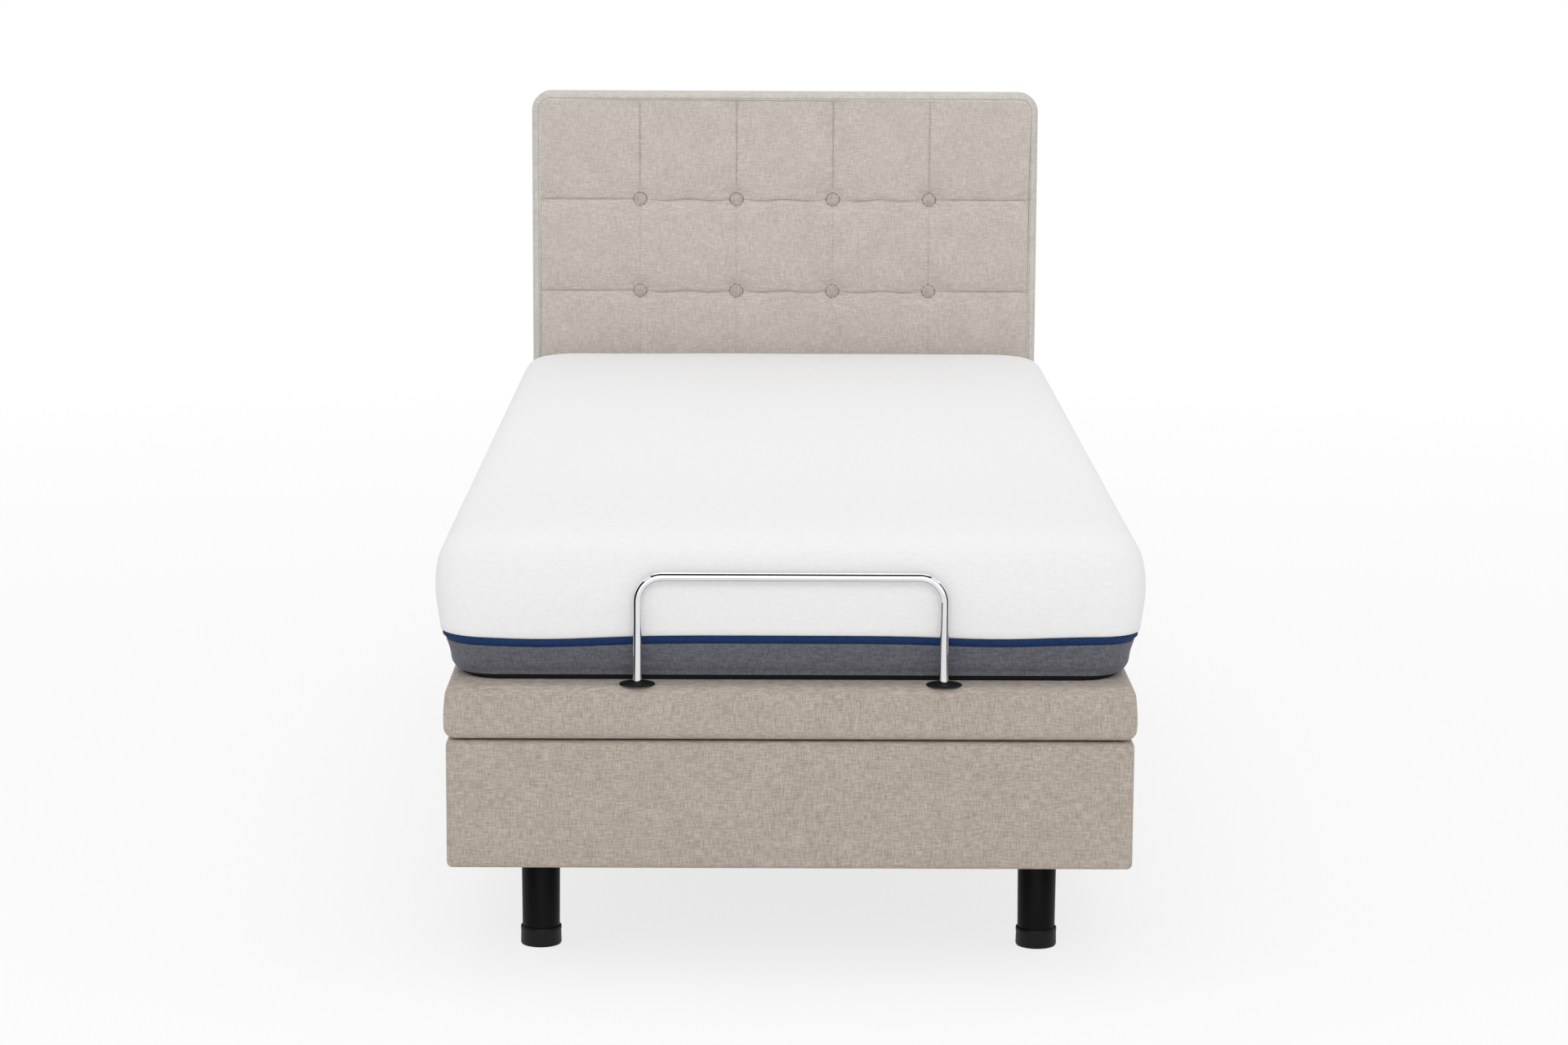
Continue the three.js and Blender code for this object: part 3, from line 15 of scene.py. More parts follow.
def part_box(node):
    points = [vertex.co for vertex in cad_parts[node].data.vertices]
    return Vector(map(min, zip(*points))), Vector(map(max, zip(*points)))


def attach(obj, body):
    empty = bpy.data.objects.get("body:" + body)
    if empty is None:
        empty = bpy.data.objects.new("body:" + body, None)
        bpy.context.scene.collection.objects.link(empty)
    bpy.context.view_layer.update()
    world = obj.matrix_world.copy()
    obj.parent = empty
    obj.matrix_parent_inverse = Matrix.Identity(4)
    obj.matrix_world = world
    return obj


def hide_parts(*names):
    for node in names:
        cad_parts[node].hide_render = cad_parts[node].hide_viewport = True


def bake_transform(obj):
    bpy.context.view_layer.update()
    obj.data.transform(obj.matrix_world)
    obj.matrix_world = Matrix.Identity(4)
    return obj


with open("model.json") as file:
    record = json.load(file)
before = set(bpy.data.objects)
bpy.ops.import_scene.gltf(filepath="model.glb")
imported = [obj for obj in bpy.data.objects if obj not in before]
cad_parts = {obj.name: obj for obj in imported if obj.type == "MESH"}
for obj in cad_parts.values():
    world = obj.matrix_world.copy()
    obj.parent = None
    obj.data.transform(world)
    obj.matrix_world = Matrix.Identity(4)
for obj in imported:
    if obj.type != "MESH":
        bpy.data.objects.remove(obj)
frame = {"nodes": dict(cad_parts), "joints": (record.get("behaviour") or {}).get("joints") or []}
for default_name in ("Cube", "Light", "Camera"):
    if default_name in bpy.data.objects:
        bpy.data.objects.remove(bpy.data.objects[default_name])
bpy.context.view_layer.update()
MM = 0.001

# %% [markdown]
# A finish is a small graph of nodes. One helper adds a node, sets its options and fills its inputs,
# either with a value or with a link from another node, so each finish below reads as a recipe.
# Colours are written as sRGB hex, the way a paint chart gives them, and turned to linear light here.

# %% Helpers for finishes
def linear(hex_code):
    channels = [int(hex_code[i:i + 2], 16) / 255 for i in (1, 3, 5)]
    bright = [c / 12.92 if c <= 0.04045 else ((c + 0.055) / 1.055) ** 2.4 for c in channels]
    return (*bright, 1.0)


def add_node(material, kind, inputs=None, **settings):
    made = material.node_tree.nodes.new(kind)
    for name, value in settings.items():
        setattr(made, name, value)
    for name, value in (inputs or {}).items():
        if isinstance(value, bpy.types.NodeSocket):
            material.node_tree.links.new(value, made.inputs[name])
        else:
            made.inputs[name].default_value = value
    return made


def start_finish(name, **shader_values):
    material = bpy.data.materials.new(name)
    material.use_nodes = True
    shader = material.node_tree.nodes["Principled BSDF"]
    for value_name, value in shader_values.items():
        shader.inputs[value_name.replace("_", " ")].default_value = value
    return material, shader


def link(material, output, socket):
    material.node_tree.links.new(output, socket)


def stretched_noise(material, scale, detail=2.0, seed=0.0):
    """Noise on object coordinates; scale gives the cells per metre along X, Y and Z."""
    place = add_node(material, "ShaderNodeTexCoord").outputs["Object"]
    spread = add_node(material, "ShaderNodeMapping",
                      {"Vector": place, "Scale": scale, "Location": (seed, seed, seed)})
    field = add_node(material, "ShaderNodeTexNoise",
                     {"Vector": spread.outputs["Vector"], "Scale": 1.0, "Detail": detail})
    return field.outputs["Fac"]


def remap(material, value, low, high, to_low=0.0, to_high=1.0):
    made = add_node(material, "ShaderNodeMapRange",
                    {"Value": value, "From Min": low, "From Max": high,
                     "To Min": to_low, "To Max": to_high})
    return made.outputs["Result"]


def blend_colours(material, share, first, second):
    made = add_node(material, "ShaderNodeMix", {0: share, 6: first, 7: second}, data_type="RGBA")
    return made.outputs[2]


def math_node(material, operation, first, second):
    return add_node(material, "ShaderNodeMath", {0: first, 1: second}, operation=operation).outputs[0]


def add_bump(material, shader, height, depth, strength=1.0):
    made = add_node(material, "ShaderNodeBump",
                    {"Height": height, "Distance": depth, "Strength": strength})
    link(material, made.outputs["Normal"], shader.inputs["Normal"])


# %% [markdown]
# The cover cloth is a plain weave of heathered polyester linen: every thread changes tone along its
# length, so the eye sees short pale and dark dashes running both ways. A photograph of the cloth, or
# a woven image, could be laid on, but it would need matching scales on each piece. Two noises, one
# stretched up and down and one stretched sideways, give the same dashes on every vertical face and
# join without a seam. Real threads are near 0.9 mm; they are drawn 1.5 mm wide so that they show.

# %% Upholstery linen
THREAD = 1.5 * MM
SLUB_LENGTH = 13 * MM
CLOUD_SIZE = 45 * MM
FABRIC_IOR = 1.45
FINE_THREAD_SHARE = 0.35
THREADS_DARK = 0.93
THREADS_PALE = 1.44
CALM_SHARE = 0.45
CLOUD_LOW = 0.3
CLOUD_HIGH = 0.7
CLOUD_DARKEST = 0.965
CLOUD_PALEST = 1.03


def heathered_linen(name, dark, middle, pale, weave_depth):
    material, shader = start_finish(name, Roughness=0.92, IOR=FABRIC_IOR, Sheen_Weight=0.12,
                                    Sheen_Roughness=0.5)
    across = 1 / THREAD
    along = 1 / SLUB_LENGTH
    warp = stretched_noise(material, (across, across, along), seed=3.1)
    weft = stretched_noise(material, (along, along, across), seed=17.7)
    fine = stretched_noise(material, (across * 2,) * 3, detail=1.0, seed=5.3)
    cloud = stretched_noise(material, (1 / CLOUD_SIZE,) * 3, seed=9.4)
    threads = math_node(material, "ADD", warp, weft)
    fine = math_node(material, "MULTIPLY", fine, FINE_THREAD_SHARE)
    threads = math_node(material, "ADD", threads, fine)
    pattern = remap(material, threads, THREADS_DARK, THREADS_PALE)
    tone = blend_colours(material, pattern, linear(dark), linear(pale))
    calm = blend_colours(material, CALM_SHARE, tone, linear(middle))
    shade = remap(material, cloud, CLOUD_LOW, CLOUD_HIGH, CLOUD_DARKEST, CLOUD_PALEST)
    final = add_node(material, "ShaderNodeVectorMath", {0: calm, "Scale": shade}, operation="SCALE")
    link(material, final.outputs["Vector"], shader.inputs["Base Color"])
    add_bump(material, shader, pattern, weave_depth, 0.6)
    return material


base_linen = heathered_linen("base_linen_upholstery", "#8c8175", "#b1a69b", "#cfc5bb", 0.5 * MM)
head_linen = heathered_linen("headboard_linen_upholstery", "#a99f95", "#c3bbb3", "#d9d2cb", 0.4 * MM)
# A lighter, greyer copy for the border strip: painted light, as where the overhead light catches the top
# edge.
lit_border_linen = heathered_linen("headboard_border_painted_light", "#b0aaa2", "#c8c4bd", "#dad6cf", 0.4 * MM)
# The darkest copy is painted shade: it darkens the rim of each covered button, where the pad meets it.
rim_shade_linen = heathered_linen("button_rim_painted_shade", "#5f574e", "#7b7269", "#8f867c", 0.2 * MM)

# %% [markdown]
# The mattress cover is a stretch knit: fine, even and almost smooth, so only a faint ribbed grain
# tells it from paper. Its border is a spacer mesh in heathered slate grey and its binding a woven
# tape in navy. All three could share one finish with other colours, but the border's cells are
# larger than the knit's loops, so each gets its own scale.

# %% Mattress textiles
KNIT_RIB = 1.6 * MM
MESH_CELL = 2.2 * MM
TAPE_RIB = 1.2 * MM
LOOPS_DARK = 0.7
LOOPS_PALE = 1.3


def knitted(name, colour, shadow, rib, depth, roughness, sheen):
    material, shader = start_finish(name, Roughness=roughness, IOR=FABRIC_IOR, Sheen_Weight=sheen)
    loops = stretched_noise(material, (1 / rib, 1 / rib, 1 / (rib * 3)), detail=1.0, seed=2.2)
    yarn = stretched_noise(material, (1 / (rib * 6), 1 / rib, 1 / rib), detail=1.0, seed=8.8)
    grain = remap(material, math_node(material, "ADD", loops, yarn), LOOPS_DARK, LOOPS_PALE)
    tint = blend_colours(material, grain, linear(shadow), linear(colour))
    link(material, tint, shader.inputs["Base Color"])
    add_bump(material, shader, grain, depth, 0.5)
    return material


white_knit = knitted("white_stretch_knit", "#f1f1f1", "#ebebeb", KNIT_RIB, 0.25 * MM, 0.9, 0.05)
grey_mesh = knitted("slate_spacer_mesh", "#6d6e77", "#54555d", MESH_CELL, 0.5 * MM, 0.9, 0.1)
navy_tape = knitted("navy_binding_tape", "#0d3769", "#07244f", TAPE_RIB, 0.4 * MM, 0.9, 0.0)
# The black cloth is painted shadow: a black strip along the bottom of the mattress stands for the dark line
# where it meets the deck.
shadow_black_cloth = knitted("black_painted_shadow_cloth", "#0c0c0d", "#060607", TAPE_RIB, 0.2 * MM, 0.95, 0.0)

# %% [markdown]
# Metals and plastics. The retainer bar is bent steel tube with a bright chrome plate, so it is almost
# a mirror. Frame steel is powder coated: the powder melts to a satin skin with a faint orange peel.
# Pins, links and piston rods are zinc plated. Motor housings are moulded ABS with a spark eroded
# grain, rollers and caps are nylon and polypropylene.

# %% Metals and plastics
PEEL_SIZE = 1.8 * MM
GRAIN_SIZE = 0.8 * MM
WEAR_LOW = 0.35
WEAR_HIGH = 0.75


def coated(name, colour, worn, roughness, metallic, cell, depth, gloss=0.5):
    material, shader = start_finish(name, Roughness=roughness, Metallic=metallic,
                                    Specular_IOR_Level=gloss)
    peel = stretched_noise(material, (1 / cell,) * 3, detail=2.0, seed=1.3)
    drift = stretched_noise(material, (1 / CLOUD_SIZE,) * 3, detail=4.0, seed=6.1)
    wear = remap(material, drift, WEAR_LOW, WEAR_HIGH)
    tint = blend_colours(material, wear, linear(colour), linear(worn))
    link(material, tint, shader.inputs["Base Color"])
    add_bump(material, shader, peel, depth, 0.35)
    return material


chrome_plate = coated("bright_chrome_plate", "#e6e6e8", "#dcdcdf", 0.07, 1.0, PEEL_SIZE * 4, 0.01 * MM)
leg_powder = coated("black_powder_coat_leg", "#080809", "#0d0d0e", 0.45, 0.0, PEEL_SIZE, 0.05 * MM, 0.1)
frame_powder = coated("charcoal_powder_coat_frame", "#26272a", "#303135", 0.5, 0.0, PEEL_SIZE, 0.12 * MM)
zinc_plate = coated("zinc_plated_steel", "#b9babd", "#9fa1a4", 0.34, 1.0, PEEL_SIZE * 2, 0.05 * MM)
cap_plastic = coated("black_moulded_polypropylene", "#0e0e0f", "#161617", 0.5, 0.0, GRAIN_SIZE,
                     0.08 * MM, 0.2)
motor_abs = coated("black_moulded_abs", "#1a1a1c", "#242427", 0.5, 0.0, GRAIN_SIZE, 0.1 * MM)
roller_nylon = coated("grey_turned_nylon", "#8b8d90", "#75777a", 0.45, 0.0, GRAIN_SIZE, 0.06 * MM)

# %% [markdown]
# Two hidden surfaces show when the bed is seen from behind or with its back raised: the chipboard of
# the box inside its cloth, and the black non-woven dust cloth stapled to the back of the headboard.
# Chipboard is pressed flakes, so it takes a Voronoi pattern; the dust cloth is embossed with dots.

# %% Chipboard and dust cloth
FLAKE_SIZE = 6 * MM
DOT_PITCH = 2.4 * MM
CELL_EDGE = 0.6


def cellular(name, first, second, size, roughness, depth):
    material, shader = start_finish(name, Roughness=roughness)
    place = add_node(material, "ShaderNodeTexCoord").outputs["Object"]
    cells = add_node(material, "ShaderNodeTexVoronoi", {"Vector": place, "Scale": 1 / size})
    edge = remap(material, cells.outputs["Distance"], 0.0, CELL_EDGE)
    tint = blend_colours(material, edge, linear(first), linear(second))
    link(material, tint, shader.inputs["Base Color"])
    add_bump(material, shader, edge, depth, 0.5)
    return material


chipboard = cellular("pressed_chipboard", "#b08f62", "#cdb083", FLAKE_SIZE, 0.8, 0.15 * MM)
dust_cloth = cellular("black_nonwoven_dust_cloth", "#1a1a1b", "#2a2a2c", DOT_PITCH, 0.95, 0.2 * MM)

NODE_FINISHES = (
    (frame_powder, ("chassis_rail", "crossbar", "back_rail", "thigh_rail", "calf_rail", "back_lift_arm",
                    "leg_lift_arm", "headboard_bracket")),
    (zinc_plate, ("back_hinge", "thigh_hinge", "knee_hinge", "foot_link", "back_rod", "leg_rod")),
    (motor_abs, ("back_motor", "leg_motor", "control_box")),
    (roller_nylon, ("back_roller", "leg_roller")),
)
for node_name, node_object in frame["nodes"].items():
    for material, stems in NODE_FINISHES:
        if node_name.startswith(stems):
            node_object.data.materials.clear()
            node_object.data.materials.append(material)

# %% [markdown]
# Shapes start from a cube or a flat face and are worked with the same operators that the editor has:
# extrude, inset, bevel, bisect and spin. These helpers only shorten the calls that come up often.
# Points nearer than WELD metres are one point.

# %% Helpers for shapes
WELD = 1e-6
ON_FACE = 1e-5


def block_between(low, high):
    made = bmesh.new()
    bmesh.ops.create_cube(made, size=1)
    low, high = Vector(low), Vector(high)
    bmesh.ops.scale(made, vec=high - low, verts=made.verts)
    bmesh.ops.translate(made, vec=(low + high) / 2, verts=made.verts)
    return made


def slice_along(made, axis, places, faces=None):
    """Adds edge loops where planes square to the axis cross the mesh or the given faces."""
    normal = Vector((0, 0, 0))
    normal[axis] = 1
    for place in places:
        if faces is None:
            geometry = made.verts[:] + made.edges[:] + made.faces[:]
        else:
            edges = {edge for face in faces for edge in face.edges}
            verts = {vert for face in faces for vert in face.verts}
            geometry = list(verts) + list(edges) + list(faces)
        done = bmesh.ops.bisect_plane(made, geom=geometry, dist=WELD, plane_co=normal * place,
                                      plane_no=normal)
        if faces is not None:
            faces = [item for item in done["geom"] if isinstance(item, bmesh.types.BMFace)]
    return faces


def steps_between(low, high, pitch):
    count = max(1, round((high - low) / pitch))
    return [low + (high - low) * i / count for i in range(1, count)]


def rounded_face(made, half_x, half_y, radius, segments):
    """One flat face with rounded corners, centred on the origin."""
    bmesh.ops.create_grid(made, x_segments=1, y_segments=1, size=1)
    bmesh.ops.scale(made, vec=(half_x, half_y, 1), verts=made.verts)
    bmesh.ops.bevel(made, geom=made.verts[:], offset=radius, segments=segments, profile=0.5,
                    affect="VERTICES", material=-1)
    return next(iter(made.faces))


def pull(made, face, move):
    """Extrudes a face, moves it and returns it."""
    new_face = bmesh.ops.extrude_discrete_faces(made, faces=[face])["faces"][0]
    bmesh.ops.translate(made, vec=move, verts=new_face.verts)
    return new_face


def rounded_outline(half_x, half_y, radius, steps):
    """Points of a rounded rectangle about the origin, with steps + 1 points on each corner."""
    points = []
    for quarter, (side_x, side_y) in enumerate(((1, 1), (-1, 1), (-1, -1), (1, -1))):
        for step in range(steps + 1):
            angle = math.pi / 2 * (quarter + step / steps)
            points.append((side_x * (half_x - radius) + radius * math.cos(angle),
                           side_y * (half_y - radius) + radius * math.sin(angle)))
    return points


def loft(made, rings):
    """Skins rings of points with the same count; returns the rings as points of the mesh."""
    loops = [[made.verts.new(point) for point in ring] for ring in rings]
    for lower, upper in zip(loops, loops[1:]):
        for i in range(len(lower)):
            j = (i + 1) % len(lower)
            made.faces.new((lower[i], lower[j], upper[j], upper[i]))
    return loops


def cut_away(made, place, direction):
    """Removes what lies past a plane square to Y, on the side that the direction names."""
    geometry = made.verts[:] + made.edges[:] + made.faces[:]
    bmesh.ops.bisect_plane(made, geom=geometry, dist=WELD, plane_co=(0, place, 0),
                           plane_no=(0, direction, 0), clear_outer=True)


def round_over(made, face, radius, steps):
    """Raises a face through the steps of a quarter circle, which rounds its rim."""
    for step in range(steps):
        start, stop = (math.pi / 2 * (step + i) / steps for i in (0, 1))
        bmesh.ops.inset_region(made, faces=[face], use_even_offset=True,
                               thickness=radius * (math.cos(start) - math.cos(stop)),
                               depth=radius * (math.sin(stop) - math.sin(start)))


def spin_profile(made, profile, steps):
    """Turns a half section, given as radius and height, once round Z."""
    points = [made.verts.new((radius, 0, height)) for radius, height in profile]
    edges = [made.edges.new(pair) for pair in zip(points, points[1:])]
    bmesh.ops.spin(made, geom=points + edges, cent=(0, 0, 0), axis=(0, 0, 1), angle=2 * math.pi,
                   steps=steps, use_merge=True)


def object_from(name, made, materials=()):
    """Turns a bmesh into an object of the scene."""
    mesh = bpy.data.meshes.new(name)
    made.to_mesh(mesh)
    made.free()
    for material in materials:
        mesh.materials.append(material)
    piece = bpy.data.objects.new(name, mesh)
    bpy.context.collection.objects.link(piece)
    return piece


def close_holes(made):
    bmesh.ops.holes_fill(made, edges=[edge for edge in made.edges if edge.is_boundary], sides=0)


def bevelled(made, edges, offset, segments=4):
    bmesh.ops.bevel(made, geom=list(edges), offset=offset, segments=segments, profile=0.5,
                    affect="EDGES", material=-1)


def make_piece(name, made, materials, body, smooth_angle=40):
    bmesh.ops.remove_doubles(made, verts=made.verts, dist=WELD)
    close_holes(made)
    bmesh.ops.recalc_face_normals(made, faces=made.faces)
    for face in made.faces:
        face.smooth = True
    for edge in made.edges:
        if len(edge.link_faces) == 2 and edge.calc_face_angle() > math.radians(smooth_angle):
            edge.smooth = False
    piece = object_from(name, made, materials)
    if body:
        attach(piece, body)
    print(name, len(piece.data.vertices), "points")
    return piece


def carve(piece, cutter_mesh):
    """Cuts a closed shape out of a piece and applies the cut."""
    cutter = object_from("cutter", cutter_mesh)
    cut = piece.modifiers.new("cut", "BOOLEAN")
    cut.operation = "DIFFERENCE"
    cut.solver = "EXACT"
    cut.object = cutter
    graph = bpy.context.evaluated_depsgraph_get()
    result = bpy.data.meshes.new_from_object(piece.evaluated_get(graph), depsgraph=graph)
    piece.modifiers.remove(cut)
    piece.data = result
    bpy.data.objects.remove(cutter)


def smoothstep(t):
    t = min(max(t, 0.0), 1.0)
    return t * t * (3 - 2 * t)


def bell(distance, width):
    return math.exp(-((distance / width) ** 2))


# %% [markdown]
# The box is a chipboard frame wrapped in linen. Four flat panels would show open corners, so the cover
# is one ring: the section of a wall, with its rounded edges, is carried round the outline of the box.
# The cloth lies a little uneven because it is stapled by hand.

# %% Box cover
foot_low, foot_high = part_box("foot_panel")
head_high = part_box("head_panel")[1]
BOX_WALL = foot_high.y - foot_low.y
BOX_EDGE = 7 * MM
BOX_CORNER = 9 * MM
LEAST_CORNER = 1.5 * MM
LOOP_UP = 30 * MM
LOOP_ALONG = 60 * MM
CLOTH_RETURN = 35 * MM
CLOTH_WAVE = 0.45 * MM
CLOTH_WAVE_SIZE = 160 * MM
EDGE_STEPS = 4
CORNER_STEPS = 6


def on_box(point, low, high):
    """How many coordinates of a point lie on the faces of a box."""
    return sum(min(abs(point[i] - low[i]), abs(point[i] - high[i])) < ON_FACE for i in range(3))


def edges_on_box(made, low, high, axes=(0, 1, 2)):
    found = []
    for edge in made.edges:
        first, second = (vert.co for vert in edge.verts)
        run = max(range(3), key=lambda i: abs(first[i] - second[i]))
        if run in axes and on_box((first + second) / 2, low, high) >= 2:
            found.append(edge)
    return found


low = Vector(foot_low)
high = Vector((foot_high.x, head_high.y, foot_high.z))
box_middle_y = (low.y + high.y) / 2
wall_section = []
for corner_inset, corner_z, turn_from in ((0, low.z, 3), (0, high.z, 0),
                                          (BOX_WALL, high.z, 1), (BOX_WALL, low.z, 2)):
    centre_inset = corner_inset + BOX_EDGE * (1 if corner_inset == 0 else -1)
    centre_z = corner_z + BOX_EDGE * (1 if corner_z == low.z else -1)
    for step in range(EDGE_STEPS + 1):
        angle = math.pi / 2 * (turn_from + step / EDGE_STEPS)
        wall_section.append((centre_inset - BOX_EDGE * math.cos(angle),
                             centre_z + BOX_EDGE * math.sin(angle)))
wall_section.append(wall_section[0])
cover = bmesh.new()
rings = []
for inset, z in wall_section:
    outline = rounded_outline(high.x - inset, (high.y - low.y) / 2 - inset,
                              max(BOX_CORNER - inset, LEAST_CORNER), CORNER_STEPS)
    rings.append([(x, y + box_middle_y, z) for x, y in outline])
loft(cover, rings)
bmesh.ops.remove_doubles(cover, verts=cover.verts, dist=WELD)
levels = steps_between(low.z + BOX_EDGE, high.z - BOX_EDGE, LOOP_UP)
slice_along(cover, 2, [high.z - CLOTH_RETURN] + levels)
slice_along(cover, 1, steps_between(low.y + BOX_WALL, high.y - BOX_WALL, LOOP_ALONG))
slice_along(cover, 0, steps_between(low.x + BOX_WALL, high.x - BOX_WALL, LOOP_ALONG))
for vert in cover.verts:
    wave = noise.noise(vert.co / CLOTH_WAVE_SIZE) * CLOTH_WAVE
    sideways = math.copysign(1, vert.co.x) * (abs(vert.co.x) > high.x - BOX_EDGE / 2)
    endways = (vert.co.y > high.y - BOX_EDGE / 2) - (vert.co.y < low.y + BOX_EDGE / 2)
    vert.co -= Vector((sideways, endways, 0)) * (CLOTH_WAVE + wave)
for face in cover.faces:
    centre = face.calc_center_median()
    inside = (abs(centre.x) < high.x - BOX_WALL / 2 and low.y + BOX_WALL / 2 < centre.y
              and centre.y < high.y - BOX_WALL / 2)
    face.material_index = int(inside and centre.z < high.z - CLOTH_RETURN)
box_cover = make_piece("box_cover", cover, [base_linen, chipboard], "root")
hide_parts("foot_panel", "head_panel", "side_panel_left", "side_panel_right")

# %% [markdown]
# Each deck section is a plywood board with deep aprons, padded and covered in the same linen, and open
# underneath for the steel. It is made as a hollow box: a cube, a face inset and pushed up from below,
# and the ends at the hinges cut open. Loops across it let the sides swell like padding does. The
# slots where the hinge ears come up, and the holes for the retainer bar, are cut out at the end.

# %% Deck sections
APRON = 24 * MM
FOOT_APRON = 42 * MM
BOARD = 20 * MM
DECK_EDGE = 12 * MM
DECK_SWELL = 3.5 * MM
SWELL_SHARE = 0.65
BED_HALF = foot_high.x
SLOT_LOW_X = 374.2 * MM
SLOT_HIGH_X = 394.1 * MM
SLOT_DEPTH = 14 * MM
SLOT_ROOM = 2.5 * MM
DECK_LOOP_UP = 8 * MM
DECK_LOOP_ACROSS = 45 * MM


def deck_section(node, body, open_foot, open_head):
    node_low, node_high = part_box(node)
    low = Vector((-BED_HALF, node_low.y + (0 if open_foot else DECK_SWELL), node_low.z))
    high = Vector((BED_HALF, node_high.y, node_high.z))
    spare = 3 * APRON
    start = low - Vector((0, spare * open_foot, 0))
    stop = high + Vector((0, spare * open_head, 0))
    made = block_between(start, stop)
    below = next(face for face in made.faces if face.normal.z < -0.9)
    bmesh.ops.inset_region(made, faces=[below], thickness=APRON, use_even_offset=True)
    if not open_foot:
        for vert in below.verts:
            if vert.co.y < low.y + 2 * APRON:
                vert.co.y += FOOT_APRON - APRON
    pull(made, below, (0, 0, high.z - low.z - BOARD))
    for is_open, place, direction in ((open_foot, low.y, -1), (open_head, high.y, 1)):
        if is_open:
            cut_away(made, place, direction)
            close_holes(made)
    bevelled(made, edges_on_box(made, low, high), DECK_EDGE)
    slice_along(made, 2, steps_between(low.z + DECK_EDGE, high.z - DECK_EDGE, DECK_LOOP_UP))
    slice_along(made, 1, steps_between(low.y + DECK_EDGE, high.y - DECK_EDGE, LOOP_ALONG))
    if not open_foot:
        slice_along(made, 0, steps_between(-BED_HALF + APRON, BED_HALF - APRON, DECK_LOOP_ACROSS))
    for vert in made.verts:
        share = min(max((vert.co.z - low.z) / (high.z - low.z), 0.0), 1.0)
        swell = DECK_SWELL * math.sin(math.pi * share ** SWELL_SHARE)
        wave = noise.noise(vert.co / CLOTH_WAVE_SIZE) * CLOTH_WAVE
        side = max(0.0, (abs(vert.co.x) - BED_HALF + APRON) / APRON)
        vert.co.x += math.copysign(side * (swell + wave - CLOTH_WAVE), vert.co.x)
        if not open_foot:
            front = max(0.0, (low.y + APRON - vert.co.y) / APRON)
            vert.co.y -= front * (swell + wave - CLOTH_WAVE)
    return make_piece(node.replace("_deck", "_deck_cover"), made, [base_linen], body)


def cut_hinge_slots(piece, hinge_y):
    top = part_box("seat_deck")[1].z
    y = (hinge_y - SLOT_DEPTH - SLOT_ROOM, hinge_y + SLOT_DEPTH + SLOT_ROOM)
    for side in (-1, 1):
        x = sorted((side * SLOT_LOW_X, side * SLOT_HIGH_X))
        carve(piece, block_between((x[0], y[0], top - BOARD - DECK_EDGE), (x[1], y[1], top + DECK_EDGE)))


joint_place = {joint["name"]: Vector(joint["pos_m"]) for joint in frame["joints"] if "pos_m" in joint}
back_hinge = joint_place["back_lift"]
thigh_hinge = joint_place["thigh_lift"]
knee_hinge = joint_place["knee_fold"]

seat_cover = deck_section("seat_deck", "root", True, True)
back_cover = deck_section("back_deck", "back_section", True, False)
thigh_cover = deck_section("thigh_deck", "thigh_section", True, True)
calf_cover = deck_section("calf_deck", "calf_section", False, True)
for piece, hinge_y in ((seat_cover, back_hinge.y), (seat_cover, thigh_hinge.y),
                       (back_cover, back_hinge.y), (thigh_cover, thigh_hinge.y)):
    cut_hinge_slots(piece, hinge_y)
for piece, node in ((seat_cover, "seat_deck"), (back_cover, "back_deck"),
                    (thigh_cover, "thigh_deck"), (calf_cover, "calf_deck")):
    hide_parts(node)

# %% [markdown]
# The retainer bar keeps the mattress from sliding down when the legs rise. It is one steel tube bent
# twice and plated. A curve with a bevel would do, but the operators say how it is really made: a ring
# of points is drawn up, spun through each bend and drawn on, so the section stays a true circle.

# %% Retainer bar
bar_low, bar_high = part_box("retainer_bar")
BAR_RADIUS = 6 * MM
BAR_BEND = 33 * MM
BAR_SIDES = 28
BEND_STEPS = 14
bar_y = (bar_low.y + bar_high.y) / 2
bar_half = bar_high.x - BAR_RADIUS
bar_top = bar_high.z - BAR_RADIUS


def bend_round(made, face, centre, axis, angle):
    done = bmesh.ops.spin(made, geom=[face], cent=centre, axis=axis, angle=angle, steps=BEND_STEPS,
                          use_merge=False, use_duplicate=False)
    return next(item for item in done["geom_last"] if isinstance(item, bmesh.types.BMFace))


bar = bmesh.new()
bmesh.ops.create_circle(bar, cap_ends=True, segments=BAR_SIDES, radius=BAR_RADIUS)
bmesh.ops.translate(bar, vec=(-bar_half, bar_y, bar_low.z), verts=bar.verts)
end = pull(bar, next(iter(bar.faces)), (0, 0, bar_top - BAR_BEND - bar_low.z))
end = bend_round(bar, end, (BAR_BEND - bar_half, bar_y, bar_top - BAR_BEND), (0, 1, 0), math.pi / 2)
end = pull(bar, end, (2 * (bar_half - BAR_BEND), 0, 0))
end = bend_round(bar, end, (bar_half - BAR_BEND, bar_y, bar_top - BAR_BEND), (0, 1, 0), math.pi / 2)
end = pull(bar, end, (0, 0, bar_low.z - bar_top + BAR_BEND))
retainer = make_piece("chrome_retainer_bar", bar, [chrome_plate], "retainer_bar")
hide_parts("retainer_bar")

# %% [markdown]
# Turned parts are drawn as half a section and spun: the bar's rubber-edged sockets, the legs and their
# caps. A spin needs one clean profile and no bevels afterwards. Profiles run from the axis outwards.

# %% Sockets, legs and caps
TURN_STEPS = 48


def turned(name, profile, centre, material, body, stretch=(1, 1, 1)):
    made = bmesh.new()
    spin_profile(made, profile, TURN_STEPS)
    bmesh.ops.remove_doubles(made, verts=made.verts, dist=WELD)
    bmesh.ops.scale(made, vec=stretch, verts=made.verts)
    bmesh.ops.translate(made, vec=centre, verts=made.verts)
    return make_piece(name, made, [material], body)


